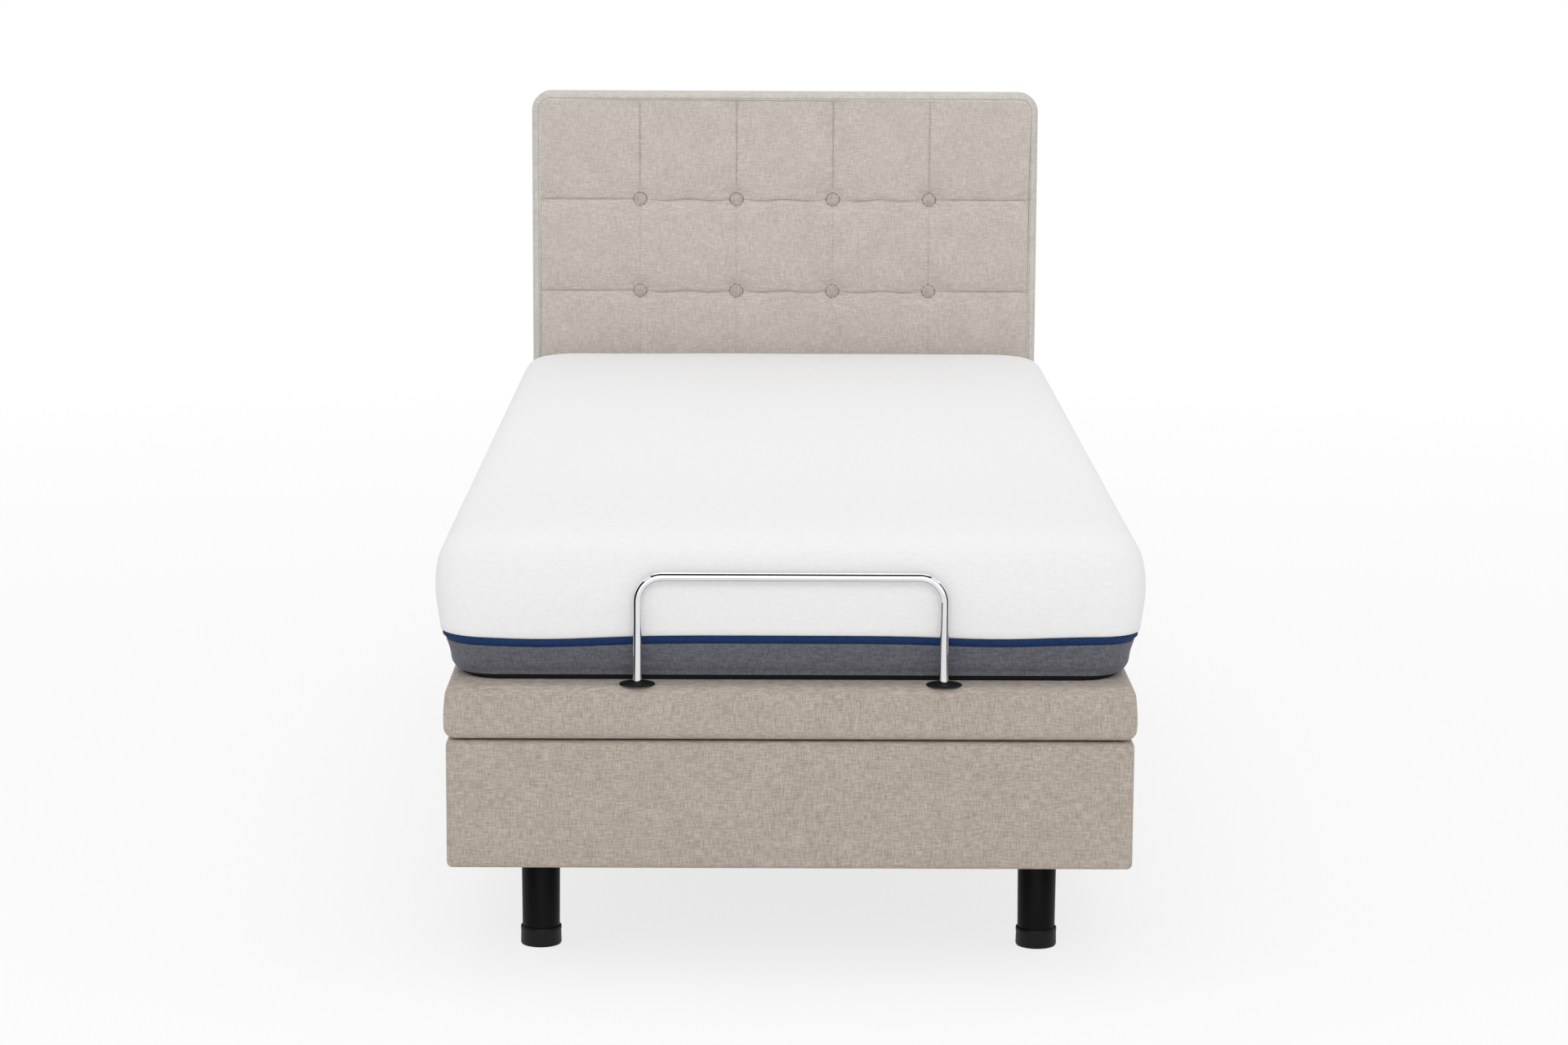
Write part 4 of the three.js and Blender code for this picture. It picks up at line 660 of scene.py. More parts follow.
deck_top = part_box("calf_deck")[1].z
SOCKET_RADIUS = 21 * MM
SOCKET_LIP = 3 * MM
SLEEVE_RADIUS = 8.8 * MM
SLEEVE_DEPTH = 38 * MM
SOCKET_BORE = 6.4 * MM
SOCKET_STRETCH = (1.1, 1.0, 1.0)
SOCKET_LIFT = 0.3 * MM
RIM_SWELL = 0.4 * MM
RIM_MIDDLE = 1.1 * MM
RIM_TOP = 2.2 * MM
RIM_TURN = 0.6 * MM
RIM_SLOPE = 3 * MM
COLLAR_FOOT = 4 * MM
COLLAR_TOP = 2 * MM
COLLAR_HEIGHT = 1.5 * MM
COLLAR_MOUTH = 1.2 * MM
SLEEVE_ROOM = 1.12
SLEEVE_SPARE = 2 * MM
socket_profile = [
    (SOCKET_BORE, -SLEEVE_DEPTH), (SLEEVE_RADIUS, -SLEEVE_DEPTH), (SLEEVE_RADIUS, SOCKET_LIFT),
    (SOCKET_RADIUS, SOCKET_LIFT), (SOCKET_RADIUS + RIM_SWELL, RIM_MIDDLE),
    (SOCKET_RADIUS - RIM_TURN, RIM_TOP), (SOCKET_RADIUS - RIM_SLOPE, SOCKET_LIP),
    (SOCKET_BORE + COLLAR_FOOT, SOCKET_LIP),
    (SOCKET_BORE + COLLAR_TOP, SOCKET_LIP + COLLAR_HEIGHT), (SOCKET_BORE, SOCKET_LIP + COLLAR_MOUTH),
    (SOCKET_BORE, -SLEEVE_DEPTH),
]
for side_name, side in (("left", -1), ("right", 1)):
    place = Vector((side * bar_half, bar_y, deck_top))
    for radius, depth in ((SLEEVE_RADIUS * SLEEVE_ROOM, 2 * SLEEVE_DEPTH + SLEEVE_SPARE),
                          (SOCKET_BORE, 2 * (deck_top - bar_low.z + MM))):
        hole = bmesh.new()
        bmesh.ops.create_cone(hole, cap_ends=True, segments=TURN_STEPS, radius1=radius, radius2=radius,
                              depth=depth)
        bmesh.ops.translate(hole, vec=place, verts=hole.verts)
        carve(calf_cover, hole)
    socket = turned(f"bar_socket_cup_{side_name}", socket_profile, place, cap_plastic, "calf_section",
                    SOCKET_STRETCH)
    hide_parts(f"bar_socket_{side_name}")

leg_low, leg_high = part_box("leg_foot_left")
cap_low, cap_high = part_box("leg_cap_foot_left")
LEG_RADIUS = (leg_high.x - leg_low.x) / 2
CAP_RADIUS = (cap_high.x - cap_low.x) / 2
LEG_TOP = foot_low.z
CAP_TOP = cap_high.z
STUD_RADIUS = 5 * MM
LEG_TAPER = 1.2 * MM
LEG_SHOULDER = 0.8 * MM
LEG_ROUND = 2 * MM
LEG_ROUND_HIGH = 0.6 * MM
leg_profile = [
    (0, leg_low.z), (LEG_RADIUS - LEG_TAPER, leg_low.z), (LEG_RADIUS - LEG_SHOULDER, CAP_TOP),
    (LEG_RADIUS, LEG_TOP - LEG_ROUND), (LEG_RADIUS - LEG_SHOULDER, LEG_TOP - LEG_ROUND_HIGH),
    (LEG_RADIUS - LEG_ROUND, LEG_TOP), (STUD_RADIUS, LEG_TOP), (STUD_RADIUS, leg_high.z), (0, leg_high.z),
]
CAP_FLOOR = 4.6 * MM
CAP_FOOT = 3.5 * MM
CAP_FOOT_RISE = 3 * MM
CAP_ROUND = 1 * MM
CAP_ROUND_HALF = 0.8 * MM
CAP_WAIST = 0.4 * MM
CAP_BEAD_LOW = 6 * MM
CAP_BEAD_HIGH = 5 * MM
CAP_CLEAR = 0.2 * MM
cap_inner = LEG_RADIUS + CAP_CLEAR
cap_profile = [
    (0, 0), (CAP_RADIUS - CAP_FOOT, 0), (CAP_RADIUS - CAP_ROUND, CAP_ROUND_HALF),
    (CAP_RADIUS, CAP_FOOT_RISE), (CAP_RADIUS - CAP_WAIST, CAP_TOP - CAP_BEAD_LOW),
    (CAP_RADIUS, CAP_TOP - CAP_BEAD_HIGH), (CAP_RADIUS, CAP_TOP - CAP_ROUND),
    (CAP_RADIUS - CAP_ROUND_HALF, CAP_TOP), (cap_inner, CAP_TOP), (cap_inner, CAP_FLOOR), (0, CAP_FLOOR),
]
for end_name in ("foot", "head"):
    for side_name in ("left", "right"):
        node = f"leg_{end_name}_{side_name}"
        low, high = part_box(node)
        centre = Vector(((low.x + high.x) / 2, (low.y + high.y) / 2, 0))
        leg = turned(f"turned_{node}", leg_profile, centre, leg_powder, "root")
        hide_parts(node)
        cap_node = f"leg_cap_{end_name}_{side_name}"
        cap = turned(f"moulded_{cap_node}", cap_profile, centre, cap_plastic, "root")
        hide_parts(cap_node)

# %% [markdown]
# The mattress is a foam block in a zipped cover: a white knit top, a navy binding and a grey border.
# It swells at mid height, draws in towards the binding and tucks under at the bottom. The section is
# drawn as pairs of height and inset, and a skin runs through the outline at each pair, ring by ring.
# The real one bends over three hinges, so it is cut into three parts where it lies flat on one section.
# The cut edges stay sharp, so that they don't show.

# %% Mattress
SECTION_SHARES = [
    (0.0, 0.043), (0.03, 0.030), (0.08, 0.0215), (0.16, 0.0185), (0.238, 0.0135), (0.31, 0.0070),
    (0.45, 0.0025), (0.58, 0.0), (0.72, 0.0020), (0.83, 0.0090), (0.91, 0.023), (0.955, 0.045),
    (0.98, 0.085), (0.994, 0.160), (1.0, 0.280),
]
MATTRESS_CORNER = 52 * MM
MATTRESS_CORNER_STEPS = 10
CORNER_FOLLOWS = 0.1
END_TUCK = 22 * MM
RING_SPLITS = 3
BINDING_LOW = 433.5 * MM
BINDING_HIGH = 444 * MM
BINDING_GROOVE = 2.6 * MM
BINDING_SWELL = 0.8 * MM
BINDING_FOOT = [(-2.5 * MM, 0.0), (-1.0 * MM, 0.8 * MM), (-0.3 * MM, BINDING_GROOVE),
                (0.5 * MM, 1.0 * MM), (2 * MM, 0.2 * MM)]
BINDING_TOP = [(-2 * MM, 0.4 * MM), (-0.5 * MM, 1.4 * MM), (0.3 * MM, BINDING_GROOVE),
               (1.0 * MM, 0.6 * MM), (3.0 * MM, -0.4 * MM)]
ROOM_BELOW = 3 * MM
ROOM_ABOVE = 4 * MM
NAVY_LOW = BINDING_LOW - 0.3 * MM
NAVY_HIGH = BINDING_HIGH + 0.2 * MM
BINDING_SAGS = ((-0.33, 0.11, 6.0 * MM), (0.27, 0.09, 4.0 * MM))
SIDE_WAVE = 2.2 * MM
SIDE_WAVES_PER_METRE = 11.0
FOOT_ZONE = 0.12
FOOT_FADE = 0.1
seat_low, seat_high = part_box("mattress_seat")
mattress_low = Vector((seat_low.x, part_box("mattress_calf")[0].y, seat_low.z))
mattress_high = Vector((seat_high.x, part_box("mattress_back")[1].y, seat_high.z))
mattress_width = mattress_high.x - mattress_low.x
mattress_height = mattress_high.z - mattress_low.z


def through_points(points, splits):
    """A smooth line that passes through every point."""
    line = [points[0]]
    for i in range(len(points) - 1):
        before, start, stop, after = (Vector(points[min(max(j, 0), len(points) - 1)])
                                      for j in (i - 1, i, i + 1, i + 2))
        for step in range(1, splits + 1):
            t = step / splits
            pair = (start * 2 + (stop - before) * t + (before * 2 - start * 5 + stop * 4 - after) * t * t
                    + (start * 3 - before - stop * 3 + after) * t ** 3) / 2
            line.append(tuple(pair))
    return line


def mattress_section():
    """Height and inset of each ring from the bottom up, with the grooves beside the binding."""
    smooth = [(mattress_low.z + height * mattress_height, inset * mattress_width)
              for height, inset in through_points(SECTION_SHARES, RING_SPLITS)]

    def inset_at(z):
        for (z0, i0), (z1, i1) in zip(smooth, smooth[1:]):
            if z0 <= z <= z1:
                return i0 + (i1 - i0) * (z - z0) / (z1 - z0)
        return smooth[-1][1]

    rings = [ring for ring in smooth
             if ring[0] < BINDING_LOW - ROOM_BELOW or ring[0] > BINDING_HIGH + ROOM_ABOVE]
    details = [(BINDING_LOW + rise, extra) for rise, extra in BINDING_FOOT]
    details += [((BINDING_LOW + BINDING_HIGH) / 2, -BINDING_SWELL)]
    details += [(BINDING_HIGH + rise, extra) for rise, extra in BINDING_TOP]
    rings += [(z, inset_at(z) + extra) for z, extra in details]
    return sorted(rings)


def binding_drop(x, y):
    """The binding isn't quite level: it sags between its tacks. A sag has a place, width and depth."""
    foot = -sum(depth * bell(x - place, width) for place, width, depth in BINDING_SAGS)
    side = SIDE_WAVE * math.sin(y * SIDE_WAVES_PER_METRE + x)
    near_foot = smoothstep((mattress_low.y + FOOT_ZONE - y) / FOOT_FADE)
    return foot * near_foot + side * (1 - near_foot)


def mattress_body():
    made = bmesh.new()
    half_y = (mattress_high.y - mattress_low.y) / 2
    middle_y = (mattress_high.y + mattress_low.y) / 2
    rings = []
    for z, inset in mattress_section():
        end_inset = min(inset, END_TUCK) if z < BINDING_LOW else inset
        outline = rounded_outline(mattress_high.x - inset, half_y - end_inset,
                                  MATTRESS_CORNER - inset * CORNER_FOLLOWS, MATTRESS_CORNER_STEPS)
        rings.append([(x, y + middle_y, z) for x, y in outline])
    loft(made, rings)
    close_holes(made)
    return made


BACK_ZONE = 345 * MM
THIGH_ZONE = 205 * MM
KNEE_ZONE = 200 * MM
FINE_LOOP = 11 * MM
COARSE_LOOP = 26 * MM
TOP_WAVE = 1.2 * MM
TOP_WAVE_SIZE = 210 * MM
PUCKER = 0.5 * MM
PUCKER_SIZE = 13 * MM
SHADOW_STRIP_HIGH = 6 * MM
BINDING_REACH = 24 * MM
SIDE_BAND = 40 * MM
TOP_NOISE_LAYER = 2.0
PART_CLEAR = 2 * MM
SEAT_CUT = back_hinge.y - BACK_ZONE / 2 - PART_CLEAR
THIGH_CUT = (thigh_hinge.y - THIGH_ZONE / 2 + knee_hinge.y + KNEE_ZONE / 2) / 2
WHITE, NAVY, GREY, SHADOW_STRIP = range(4)


def mattress_part(name, start, stop, zones):
    made = mattress_body()
    for place, direction in ((start, -1), (stop, 1)):
        if place is not None:
            cut_away(made, place, direction)
    low_y = mattress_low.y if start is None else start
    high_y = mattress_high.y if stop is None else stop
    slice_along(made, 1, steps_between(low_y, high_y, FINE_LOOP if zones else COARSE_LOOP))
    slice_along(made, 0, steps_between(mattress_low.x, mattress_high.x, COARSE_LOOP))
    for face in made.faces:
        z = face.calc_center_median().z
        # The lowest faces take the black cloth, painted shadow under the mattress's bottom edge.
        if z < mattress_low.z + SHADOW_STRIP_HIGH:
            face.material_index = SHADOW_STRIP
        elif z < NAVY_LOW:
            face.material_index = GREY
        elif z < NAVY_HIGH:
            face.material_index = NAVY
    for vert in made.verts:
        x, y, z = vert.co
        height = (z - mattress_low.z) / mattress_height
        near_binding = bell(z - (BINDING_LOW + BINDING_HIGH) / 2, BINDING_REACH)
        pucker = noise.noise(Vector((x, y, 0)) / PUCKER_SIZE) * PUCKER * near_binding
        at_side = abs(x) > mattress_high.x - SIDE_BAND
        away = Vector((x / mattress_high.x, 0, 0)) if at_side else Vector((0, -1, 0))
        vert.co += away * pucker
        vert.co.z += binding_drop(x, y) * near_binding
        wave = noise.noise(Vector((x, y, TOP_NOISE_LAYER)) / TOP_WAVE_SIZE)
        vert.co.z += wave * TOP_WAVE * smoothstep(height * 2 - 1)
    piece = make_piece(name, made, [white_knit, navy_tape, grey_mesh, shadow_black_cloth], None, 50)
    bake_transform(piece)
    return piece


def zone(hinge, length, direction=1):
    reach = direction * length / 2
    return [(0, hinge.y - reach, hinge.z), (0, hinge.y + reach, hinge.z)]


mattress_head = mattress_part("mattress_head_part", SEAT_CUT, None, zone(back_hinge, BACK_ZONE))
mattress_middle = mattress_part("mattress_middle_part", THIGH_CUT, SEAT_CUT,
                                zone(thigh_hinge, THIGH_ZONE, -1))
mattress_foot = mattress_part("mattress_foot_part", None, THIGH_CUT, zone(knee_hinge, KNEE_ZONE, -1))
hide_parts("mattress_back", "mattress_back_fold")
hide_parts("mattress_seat", "mattress_thigh_fold")
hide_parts("mattress_thigh", "mattress_calf")

# %% [markdown]
# The headboard is a padded board: the front cloth is sewn to a border strip along a seam that follows
# the outline, and sewn channels and covered buttons draw it into the foam. Sculpting it by hand would
# work once; here the face is sliced into fine strips and every point is pushed in by rules for a
# channel, a button dimple and the edge, so the seams sag between their buttons as the real ones do.

# %% Headboard pad
pad_low, pad_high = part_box("headboard_pad")
PAD_CORNER = 33 * MM
PAD_CORNER_STEPS = 9
BORDER = 11.5 * MM
BUTTON_X = 86 * MM
BUTTON_ROWS = (849 * MM, 685 * MM)
HIDDEN_ROW = 504 * MM
SEAM_SAG = 3.0 * MM
button_columns = [-3 * BUTTON_X, -BUTTON_X, BUTTON_X, 3 * BUTTON_X]
SEAM_LOOPS = (0.0, 1.1 * MM, 2.4 * MM, 4.2 * MM, 7 * MM, 10.5 * MM, 13.5 * MM, 17 * MM, 22 * MM)
BUTTON_RADIUS = 12.8 * MM
BUTTON_SEAT = 5.2 * MM
BUTTON_PULL = 3.0 * MM
PAD_LOOP = 12 * MM
HIDDEN_SAG_SHARE = 0.3
COLUMN_SHARES = ((BUTTON_ROWS[0], 1.0), (BUTTON_ROWS[1], 0.55), (HIDDEN_ROW, 0.45))
SOFT_SHARE = 0.75
DEPTH_LIMIT = 13 * MM
ROW_DEPTH = 4.2 * MM
ROW_CREASE = 2.2 * MM
ROW_SPREAD = 20 * MM
COLUMN_DEPTH = 3.4 * MM
COLUMN_CREASE = 1.9 * MM
COLUMN_SPREAD = 17 * MM
PLEAT_SHARE = 0.12
PLEAT_COUNT = 9
PLEAT_TURN = 40
PLEAT_AT = 16 * MM
PLEAT_WIDTH = 12 * MM
DIMPLE_SLOPE = 9 * MM
DIMPLE_REACH = 40 * MM
FACE_FADE = 9 * MM
SAG_REACH = 40 * MM


def seam_sag(x, row):
    """A sewn channel hangs a little between two buttons and rises to each of them."""
    if abs(x) >= 3 * BUTTON_X:
        return 0.0
    share = abs((x / (2 * BUTTON_X) + 0.5) % 1.0 - 0.5) * 2
    lift = HIDDEN_SAG_SHARE if row == HIDDEN_ROW else 1.0
    return SEAM_SAG * lift * math.sin(math.pi * share) ** 2


def channel(distance, depth, crease, spread):
    sharp = depth * math.exp(-abs(distance) / crease)
    soft = depth * SOFT_SHARE * bell(distance, spread)
    return sharp + soft


def column_strength(z):
    return next((share for row, share in COLUMN_SHARES if z > row), 0.0)


def pad_depth(x, z):
    """How far the cloth is drawn into the foam at a place on the face."""
    left = 1.0
    for row in (*BUTTON_ROWS, HIDDEN_ROW):
        left *= 1 - channel(z - row, ROW_DEPTH, ROW_CREASE, ROW_SPREAD) / DEPTH_LIMIT
    for column in button_columns:
        depth = channel(x - column, COLUMN_DEPTH * column_strength(z), COLUMN_CREASE, COLUMN_SPREAD)
        left *= 1 - depth / DEPTH_LIMIT
        for row in BUTTON_ROWS:
            away = math.hypot(x - column, z - row)
            angle = math.atan2(z - row, x - column)
            pleat = math.cos(PLEAT_COUNT * angle + column * PLEAT_TURN) * bell(away - PLEAT_AT, PLEAT_WIDTH)
            outside = max(0.0, away - BUTTON_RADIUS)
            dimple = BUTTON_SEAT * bell(outside, DIMPLE_SLOPE) + BUTTON_PULL * bell(away, DIMPLE_REACH)
            left *= 1 - min(dimple * (1 + PLEAT_SHARE * pleat), DEPTH_LIMIT) / DEPTH_LIMIT
    return DEPTH_LIMIT * (1 - left)


pad = bmesh.new()
half_x = (pad_high.x - pad_low.x) / 2
half_z = (pad_high.z - pad_low.z) / 2
middle_z = (pad_high.z + pad_low.z) / 2
pad_thick = pad_high.y - pad_low.y
face = rounded_face(pad, half_x, half_z, PAD_CORNER, PAD_CORNER_STEPS)
EDGE_ROUND = 9 * MM
PAD_EDGE_STEPS = 6
PIPING_DIP = 1.6 * MM
PIPING_STEPS = ((BORDER - EDGE_ROUND - 1.2 * MM, 0), (0.9 * MM, -PIPING_DIP), (0.5 * MM, 0),
                (1.0 * MM, PIPING_DIP * 0.8), (2.5 * MM, PIPING_DIP * 0.2))
face = pull(pad, face, (0, 0, pad_thick - EDGE_ROUND))
round_over(pad, face, EDGE_ROUND, PAD_EDGE_STEPS)
for thickness, rise in PIPING_STEPS:
    bmesh.ops.inset_region(pad, faces=[face], thickness=thickness, depth=rise, use_even_offset=True)
# Every face but the tufted front takes the lighter copy of the linen: painted light on the border and
# edges.
for item in pad.faces:
    item.material_index = 1
face.material_index = 0
front = [face]
rows = [row - middle_z + side * loop for row in (*BUTTON_ROWS, HIDDEN_ROW) for loop in SEAM_LOOPS
        for side in (-1, 1) if side > 0 or loop > 0]
columns = [column + side * loop for column in button_columns for loop in SEAM_LOOPS
           for side in (-1, 1) if side > 0 or loop > 0]
front = slice_along(pad, 0, sorted(columns + steps_between(-half_x, half_x, PAD_LOOP)), front)
front = slice_along(pad, 1, sorted(rows + steps_between(-half_z, half_z, PAD_LOOP)), front)
front_points = {vert for item in front for vert in item.verts}
rim_points = {vert for edge in pad.edges if any(f in front for f in edge.link_faces)
              and not all(f in front for f in edge.link_faces) for vert in edge.verts}
for vert in front_points:
    x, z = vert.co.x, vert.co.y + middle_z
    reach = min(half_x - BORDER - abs(x), half_z - BORDER - abs(vert.co.y))
    fade = smoothstep(reach / FACE_FADE)
    vert.co.z -= pad_depth(x, z) * fade
    if vert not in rim_points:
        sag = sum(seam_sag(x, row) * bell(z - row, SAG_REACH) for row in (*BUTTON_ROWS, HIDDEN_ROW))
        vert.co.y -= sag * fade
stand = Matrix.Rotation(math.pi / 2, 4, "X")
bmesh.ops.transform(pad, matrix=stand, verts=pad.verts)
bmesh.ops.translate(pad, vec=(0, pad_high.y, middle_z), verts=pad.verts)
headboard_face = make_piece("headboard_tufted_pad", pad, [head_linen, lit_border_linen], "root",
                            60)
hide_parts("headboard_pad")

# %% [markdown]
# A covered button is a metal shell with the same cloth pressed over it. It is spun from a low dome with
# a tight edge, then turned to face the foot of the bed and set at the bottom of its dimple. Its cloth is
# drawn darker than the pad's, as painted shade in the dimple, and its outer edge darker still, as painted
# shade round the rim.

# %% Covered buttons
BUTTON_DOME = 5.2 * MM
BUTTON_RIM = 1.3 * MM
BUTTON_SET = 2.0 * MM
BUTTON_STEPS = 32
# The buttons take a darker copy of the headboard linen: painted shade for the dimples they sit in.
shaded_button_linen = heathered_linen("button_linen_painted_shade", "#958b80", "#b4aba1", "#cbc3b8", 0.3 * MM)
DOME_SHARES = [(0.0, 1.0), (0.3, 0.96), (0.55, 0.87), (0.76, 0.7), (0.88, 0.52), (0.96, 0.36), (1.0, 0.24)]
# Faces past this share of the radius take the darkest linen, painted shade round the button's rim.
RIM_SHADE_SHARE = 0.86
buttons = bmesh.new()
for column in button_columns:
    for row in BUTTON_ROWS:
        profile = [(radius * BUTTON_RADIUS, height * BUTTON_DOME) for radius, height in DOME_SHARES]
        profile += [(BUTTON_RADIUS - BUTTON_RIM / 2, 0), (BUTTON_RADIUS - BUTTON_RIM, -BUTTON_SET),
                    (0, -BUTTON_SET)]
        spin_profile(buttons, profile, BUTTON_STEPS)
        for face in buttons.faces:
            if not face.tag:
                centre = face.calc_center_median()
                face.material_index = int(math.hypot(centre.x, centre.y) > RIM_SHADE_SHARE * BUTTON_RADIUS)
                face.tag = True
        fresh = [vert for vert in buttons.verts if not vert.tag]
        bmesh.ops.transform(buttons, matrix=stand, verts=fresh)
        seat_y = pad_low.y + pad_depth(column, row)
        bmesh.ops.translate(buttons, vec=(column, seat_y, row), verts=fresh)
        for vert in buttons.verts:
            vert.tag = True
make_piece("headboard_buttons", buttons, [shaded_button_linen, rim_shade_linen], "root",
           60)

# %% [markdown]
# The back of the headboard faces a wall, so it is finished simply: the front cloth is turned over the
# board's edge and a black dust cloth is stapled over its raw ends. The cloth is an inset panel a hair
# proud of the board, and the staples are small wires pressed in at even steps.

# %% Headboard back
board_low, board_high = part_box("headboard_board")
board_half_x = (board_high.x - board_low.x) / 2
board_half_z = (board_high.z - board_low.z) / 2
board_middle_z = (board_high.z + board_low.z) / 2
TURNED_CLOTH = 26 * MM
DUST_CLOTH_THICK = 0.8 * MM
DUST_LOOP = 24 * MM
DUST_SAG = 1.6 * MM
BOARD_ROUND = 3 * MM
BOARD_ROUND_STEPS = 3
CORNER_SHRINK = 4 * MM
DUST_RIM = 0.4 * MM
DUST_FADE = 60 * MM
SAG_LEAST = 0.7
SAG_VARIES = 0.5
back = bmesh.new()
face = rounded_face(back, board_half_x, board_half_z, PAD_CORNER - CORNER_SHRINK, PAD_CORNER_STEPS)
face = pull(back, face, (0, 0, board_high.y - board_low.y - BOARD_ROUND - DUST_CLOTH_THICK))
round_over(back, face, BOARD_ROUND, BOARD_ROUND_STEPS)
bmesh.ops.inset_region(back, faces=[face], thickness=TURNED_CLOTH, use_even_offset=True)
bmesh.ops.inset_region(back, faces=[face], thickness=DUST_RIM, depth=DUST_CLOTH_THICK,
                       use_even_offset=True)
face.material_index = 1
dust = slice_along(back, 0, steps_between(-board_half_x, board_half_x, DUST_LOOP), [face])
dust = slice_along(back, 1, steps_between(-board_half_z, board_half_z, DUST_LOOP), dust)
for vert in {vert for item in dust for vert in item.verts}:
    reach = min(board_half_x - abs(vert.co.x), board_half_z - abs(vert.co.y)) - TURNED_CLOTH
    slack = SAG_LEAST + SAG_VARIES * noise.noise(vert.co / CLOTH_WAVE_SIZE)
    vert.co.z -= DUST_SAG * slack * smoothstep(reach / DUST_FADE)
bmesh.ops.transform(back, matrix=Matrix.Rotation(-math.pi / 2, 4, "X"), verts=back.verts)
bmesh.ops.translate(back, vec=(0, board_low.y, board_middle_z), verts=back.verts)
headboard_back = make_piece("headboard_back", back, [head_linen, dust_cloth], "root")
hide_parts("headboard_board")

STAPLE = Vector((10 * MM, 0.5 * MM, 0.9 * MM))
STAPLE_PITCH = 62 * MM
STAPLE_IN = 9 * MM
staple_inset = TURNED_CLOTH + STAPLE_IN
staples = bmesh.new()


def add_staple(x, z, upright):
    size = Vector((STAPLE.z, STAPLE.y, STAPLE.x)) if upright else STAPLE
    made = bmesh.ops.create_cube(staples, size=1)
    bmesh.ops.scale(staples, vec=size, verts=made["verts"])
    bmesh.ops.translate(staples, vec=(x, board_high.y, z), verts=made["verts"])


span_x = board_half_x - staple_inset
span_z = board_half_z - staple_inset
for x in steps_between(-span_x, span_x, STAPLE_PITCH):
    for z in (board_middle_z - span_z, board_middle_z + span_z):
        add_staple(x, z, False)
for z in steps_between(board_middle_z - span_z, board_middle_z + span_z, STAPLE_PITCH):
    for x in (-span_x, span_x):
        add_staple(x, z, True)
make_piece("headboard_staples", staples, [zinc_plate], "root")

# %% [markdown]
# The stage is a pale floor that the camera sees as plain white, with the bed's own soft shadow left in.
# Large lamps stand where a studio would put them: a broad light over the foot, a low one before it, one
# overhead, a weak one on each side and one behind, so the cloth keeps its relief without hard shadows.

# %% Floor and light
FLOOR_SIZE = 40.0
FADE_NEAR = 1.2
FADE_FAR = 5.0
FLOOR_GLOW = 0.78
AMBIENT = 0.72


def seen_directly(owner):
    """1 for a ray from the camera or on from metal or glass, 0 for the light that falls on the bed."""
    rays = add_node(owner, "ShaderNodeLightPath").outputs
    polished = math_node(owner, "MAXIMUM", rays["Is Glossy Ray"], rays["Is Transmission Ray"])
    return math_node(owner, "MAXIMUM", rays["Is Camera Ray"], polished)


floor_mesh = bmesh.new()
bmesh.ops.create_grid(floor_mesh, x_segments=1, y_segments=1, size=FLOOR_SIZE / 2)
floor_paint = bpy.data.materials.new("pale_studio_floor")
floor = object_from("studio_floor", floor_mesh, [floor_paint])
floor_paint.use_nodes = True
tree = floor_paint.node_tree
matt = tree.nodes["Principled BSDF"]
matt.inputs["Base Color"].default_value = linear("#f2f2f2")
matt.inputs["Roughness"].default_value = 1.0
matt.inputs["Specular IOR Level"].default_value = 0.0
glow = add_node(floor_paint, "ShaderNodeEmission", {"Color": (1, 1, 1, 1), "Strength": 1.0})
seen = seen_directly(floor_paint)
place = add_node(floor_paint, "ShaderNodeTexCoord").outputs["Object"]
away = add_node(floor_paint, "ShaderNodeVectorMath", {0: place}, operation="LENGTH").outputs["Value"]
fade = remap(floor_paint, away, FADE_NEAR, FADE_FAR, FLOOR_GLOW, 1.0)
share = math_node(floor_paint, "MULTIPLY", seen, fade)
mixed = add_node(floor_paint, "ShaderNodeMixShader",
                 {0: share, 1: matt.outputs["BSDF"], 2: glow.outputs["Emission"]})
link(floor_paint, mixed.outputs["Shader"], tree.nodes["Material Output"].inputs["Surface"])

world = bpy.data.worlds.new("studio")
bpy.context.scene.world = world
world.use_nodes = True
sky = world.node_tree.nodes["Background"]
link(world, remap(world, seen_directly(world), 0.0, 1.0, AMBIENT, 1.0), sky.inputs["Strength"])
sky.inputs["Color"].default_value = (1, 1, 1, 1)


def soft_lamp(name, place, target, size, power):
    data = bpy.data.lights.new(name, "AREA")
    data.shape = "RECTANGLE"
    data.size, data.size_y = size
    data.energy = power
    lamp = bpy.data.objects.new(name, data)
    bpy.context.collection.objects.link(lamp)
    lamp.location = place
    aim = Vector(target) - Vector(place)
    lamp.rotation_mode = "QUATERNION"
    lamp.rotation_quaternion = aim.to_track_quat("-Z", "Y")


# Name, place, target and size in metres, power in watts.
LAMPS = (
    ("foot_front", (0.0, -5.0, 3.1), (0, -0.4, 0.5), (3.2, 2.0), 42),
    ("foot_low", (0.0, -5.0, 0.5), (0, -1.0, 0.5), (3.0, 0.7), 14),
    ("overhead", (0.0, 0.0, 3.1), (0, 0.5, 0.5), (2.6, 1.8), 16),
    ("left_side", (-3.4, -0.6, 2.0), (0, 0, 0.5), (2.0, 2.4), 8),
    ("right_side", (3.4, -0.6, 2.0), (0, 0, 0.5), (2.0, 2.4), 8),
    ("behind", (0.0, 3.6, 2.2), (0, 0.5, 0.5), (2.6, 1.6), 8),
)
for lamp_values in LAMPS:
    soft_lamp(*lamp_values)

# %% [markdown]
# Chrome has no colour of its own and shows only the room. In an all white room it would vanish, so a
# studio hangs dark cards that nothing but the polished metal can see.

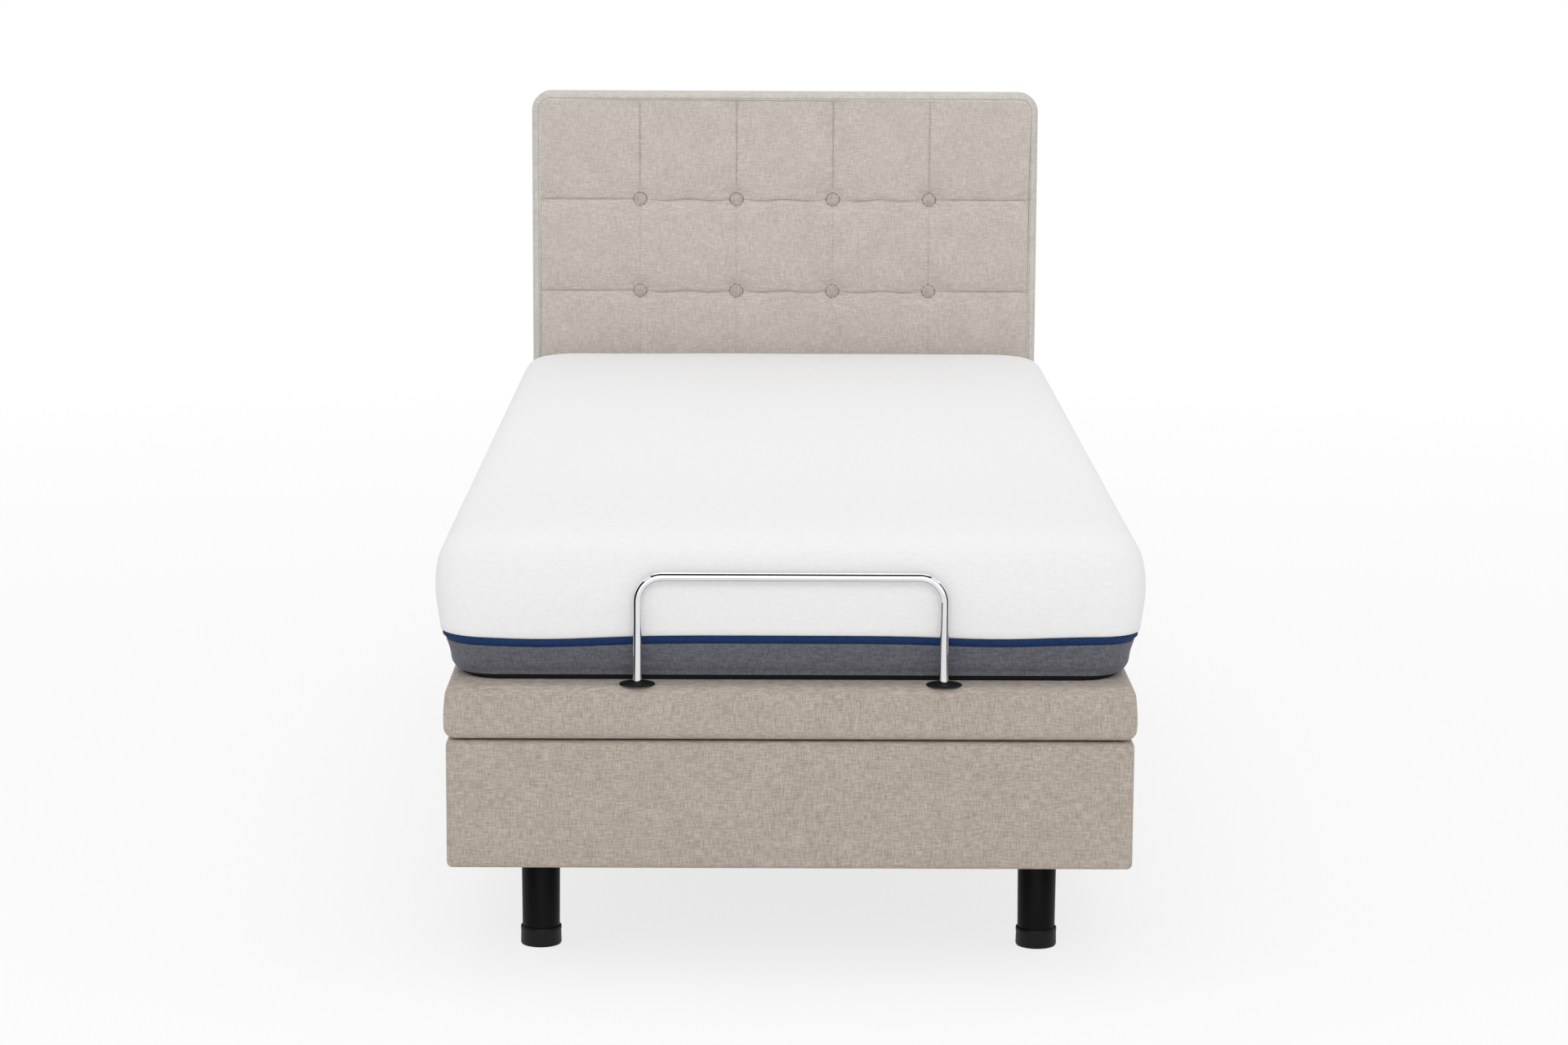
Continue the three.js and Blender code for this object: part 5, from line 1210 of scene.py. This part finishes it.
# %% Dark cards for the chrome
flag_paint = bpy.data.materials.new("black_card")
flag_paint.use_nodes = True
flag_shader = flag_paint.node_tree.nodes["Principled BSDF"]
flag_shader.inputs["Base Color"].default_value = linear("#0a0a0a")
flag_shader.inputs["Roughness"].default_value = 1.0


def dark_card(name, low, high):
    card = object_from(name, block_between(low, high), [flag_paint])
    card.visible_camera = False
    card.visible_diffuse = False
    card.visible_shadow = False
    card.visible_transmission = False


# Name and two opposite corners in metres.
CARDS = (
    ("left_card", (-1.72, -3.3, 0.02), (-1.7, -1.1, 1.8)),
    ("right_card", (1.9, -2.5, 0.02), (1.92, -1.1, 1.8)),
    ("overhead_card", (-2.0, -5.6, 3.6), (2.0, -0.6, 3.62)),
)
for card_values in CARDS:
    dark_card(*card_values)

# %% [markdown]
# The camera stands about five metres before the foot, higher than the headboard, and looks slightly
# down through a long lens. Its place was worked out from the bed's own edges and the widths that
# they show in the picture.

# %% Camera
FOCAL_PIXELS = 4869.6
FRAME_PIXELS = 1920
SENSOR_WIDTH = 36
PITCH = 0.16387
YAW = 0.00553
ROLL = 0.00469
CAMERA_PLACE = Vector((-0.0377, -5.0654, 1.4384))
camera_data = bpy.data.cameras.new("photo_camera")
camera = bpy.data.objects.new("photo_camera", camera_data)
bpy.context.collection.objects.link(camera)
bpy.context.scene.camera = camera
camera_data.sensor_width = SENSOR_WIDTH
camera_data.lens = SENSOR_WIDTH * FOCAL_PIXELS / FRAME_PIXELS
ahead = Vector((math.sin(YAW) * math.cos(PITCH), math.cos(YAW) * math.cos(PITCH), -math.sin(PITCH)))
right = ahead.cross(Vector((0, 0, 1))).normalized()
upward = right.cross(ahead)
rolled_right = right * math.cos(ROLL) + upward * math.sin(ROLL)
rolled_up = upward * math.cos(ROLL) - right * math.sin(ROLL)
turn = Matrix((rolled_right, rolled_up, -ahead)).transposed().to_4x4()
camera.matrix_world = Matrix.Translation(CAMERA_PLACE + Vector((0, foot_low.y, 0))) @ turn
bpy.context.scene.view_settings.view_transform = "Standard"
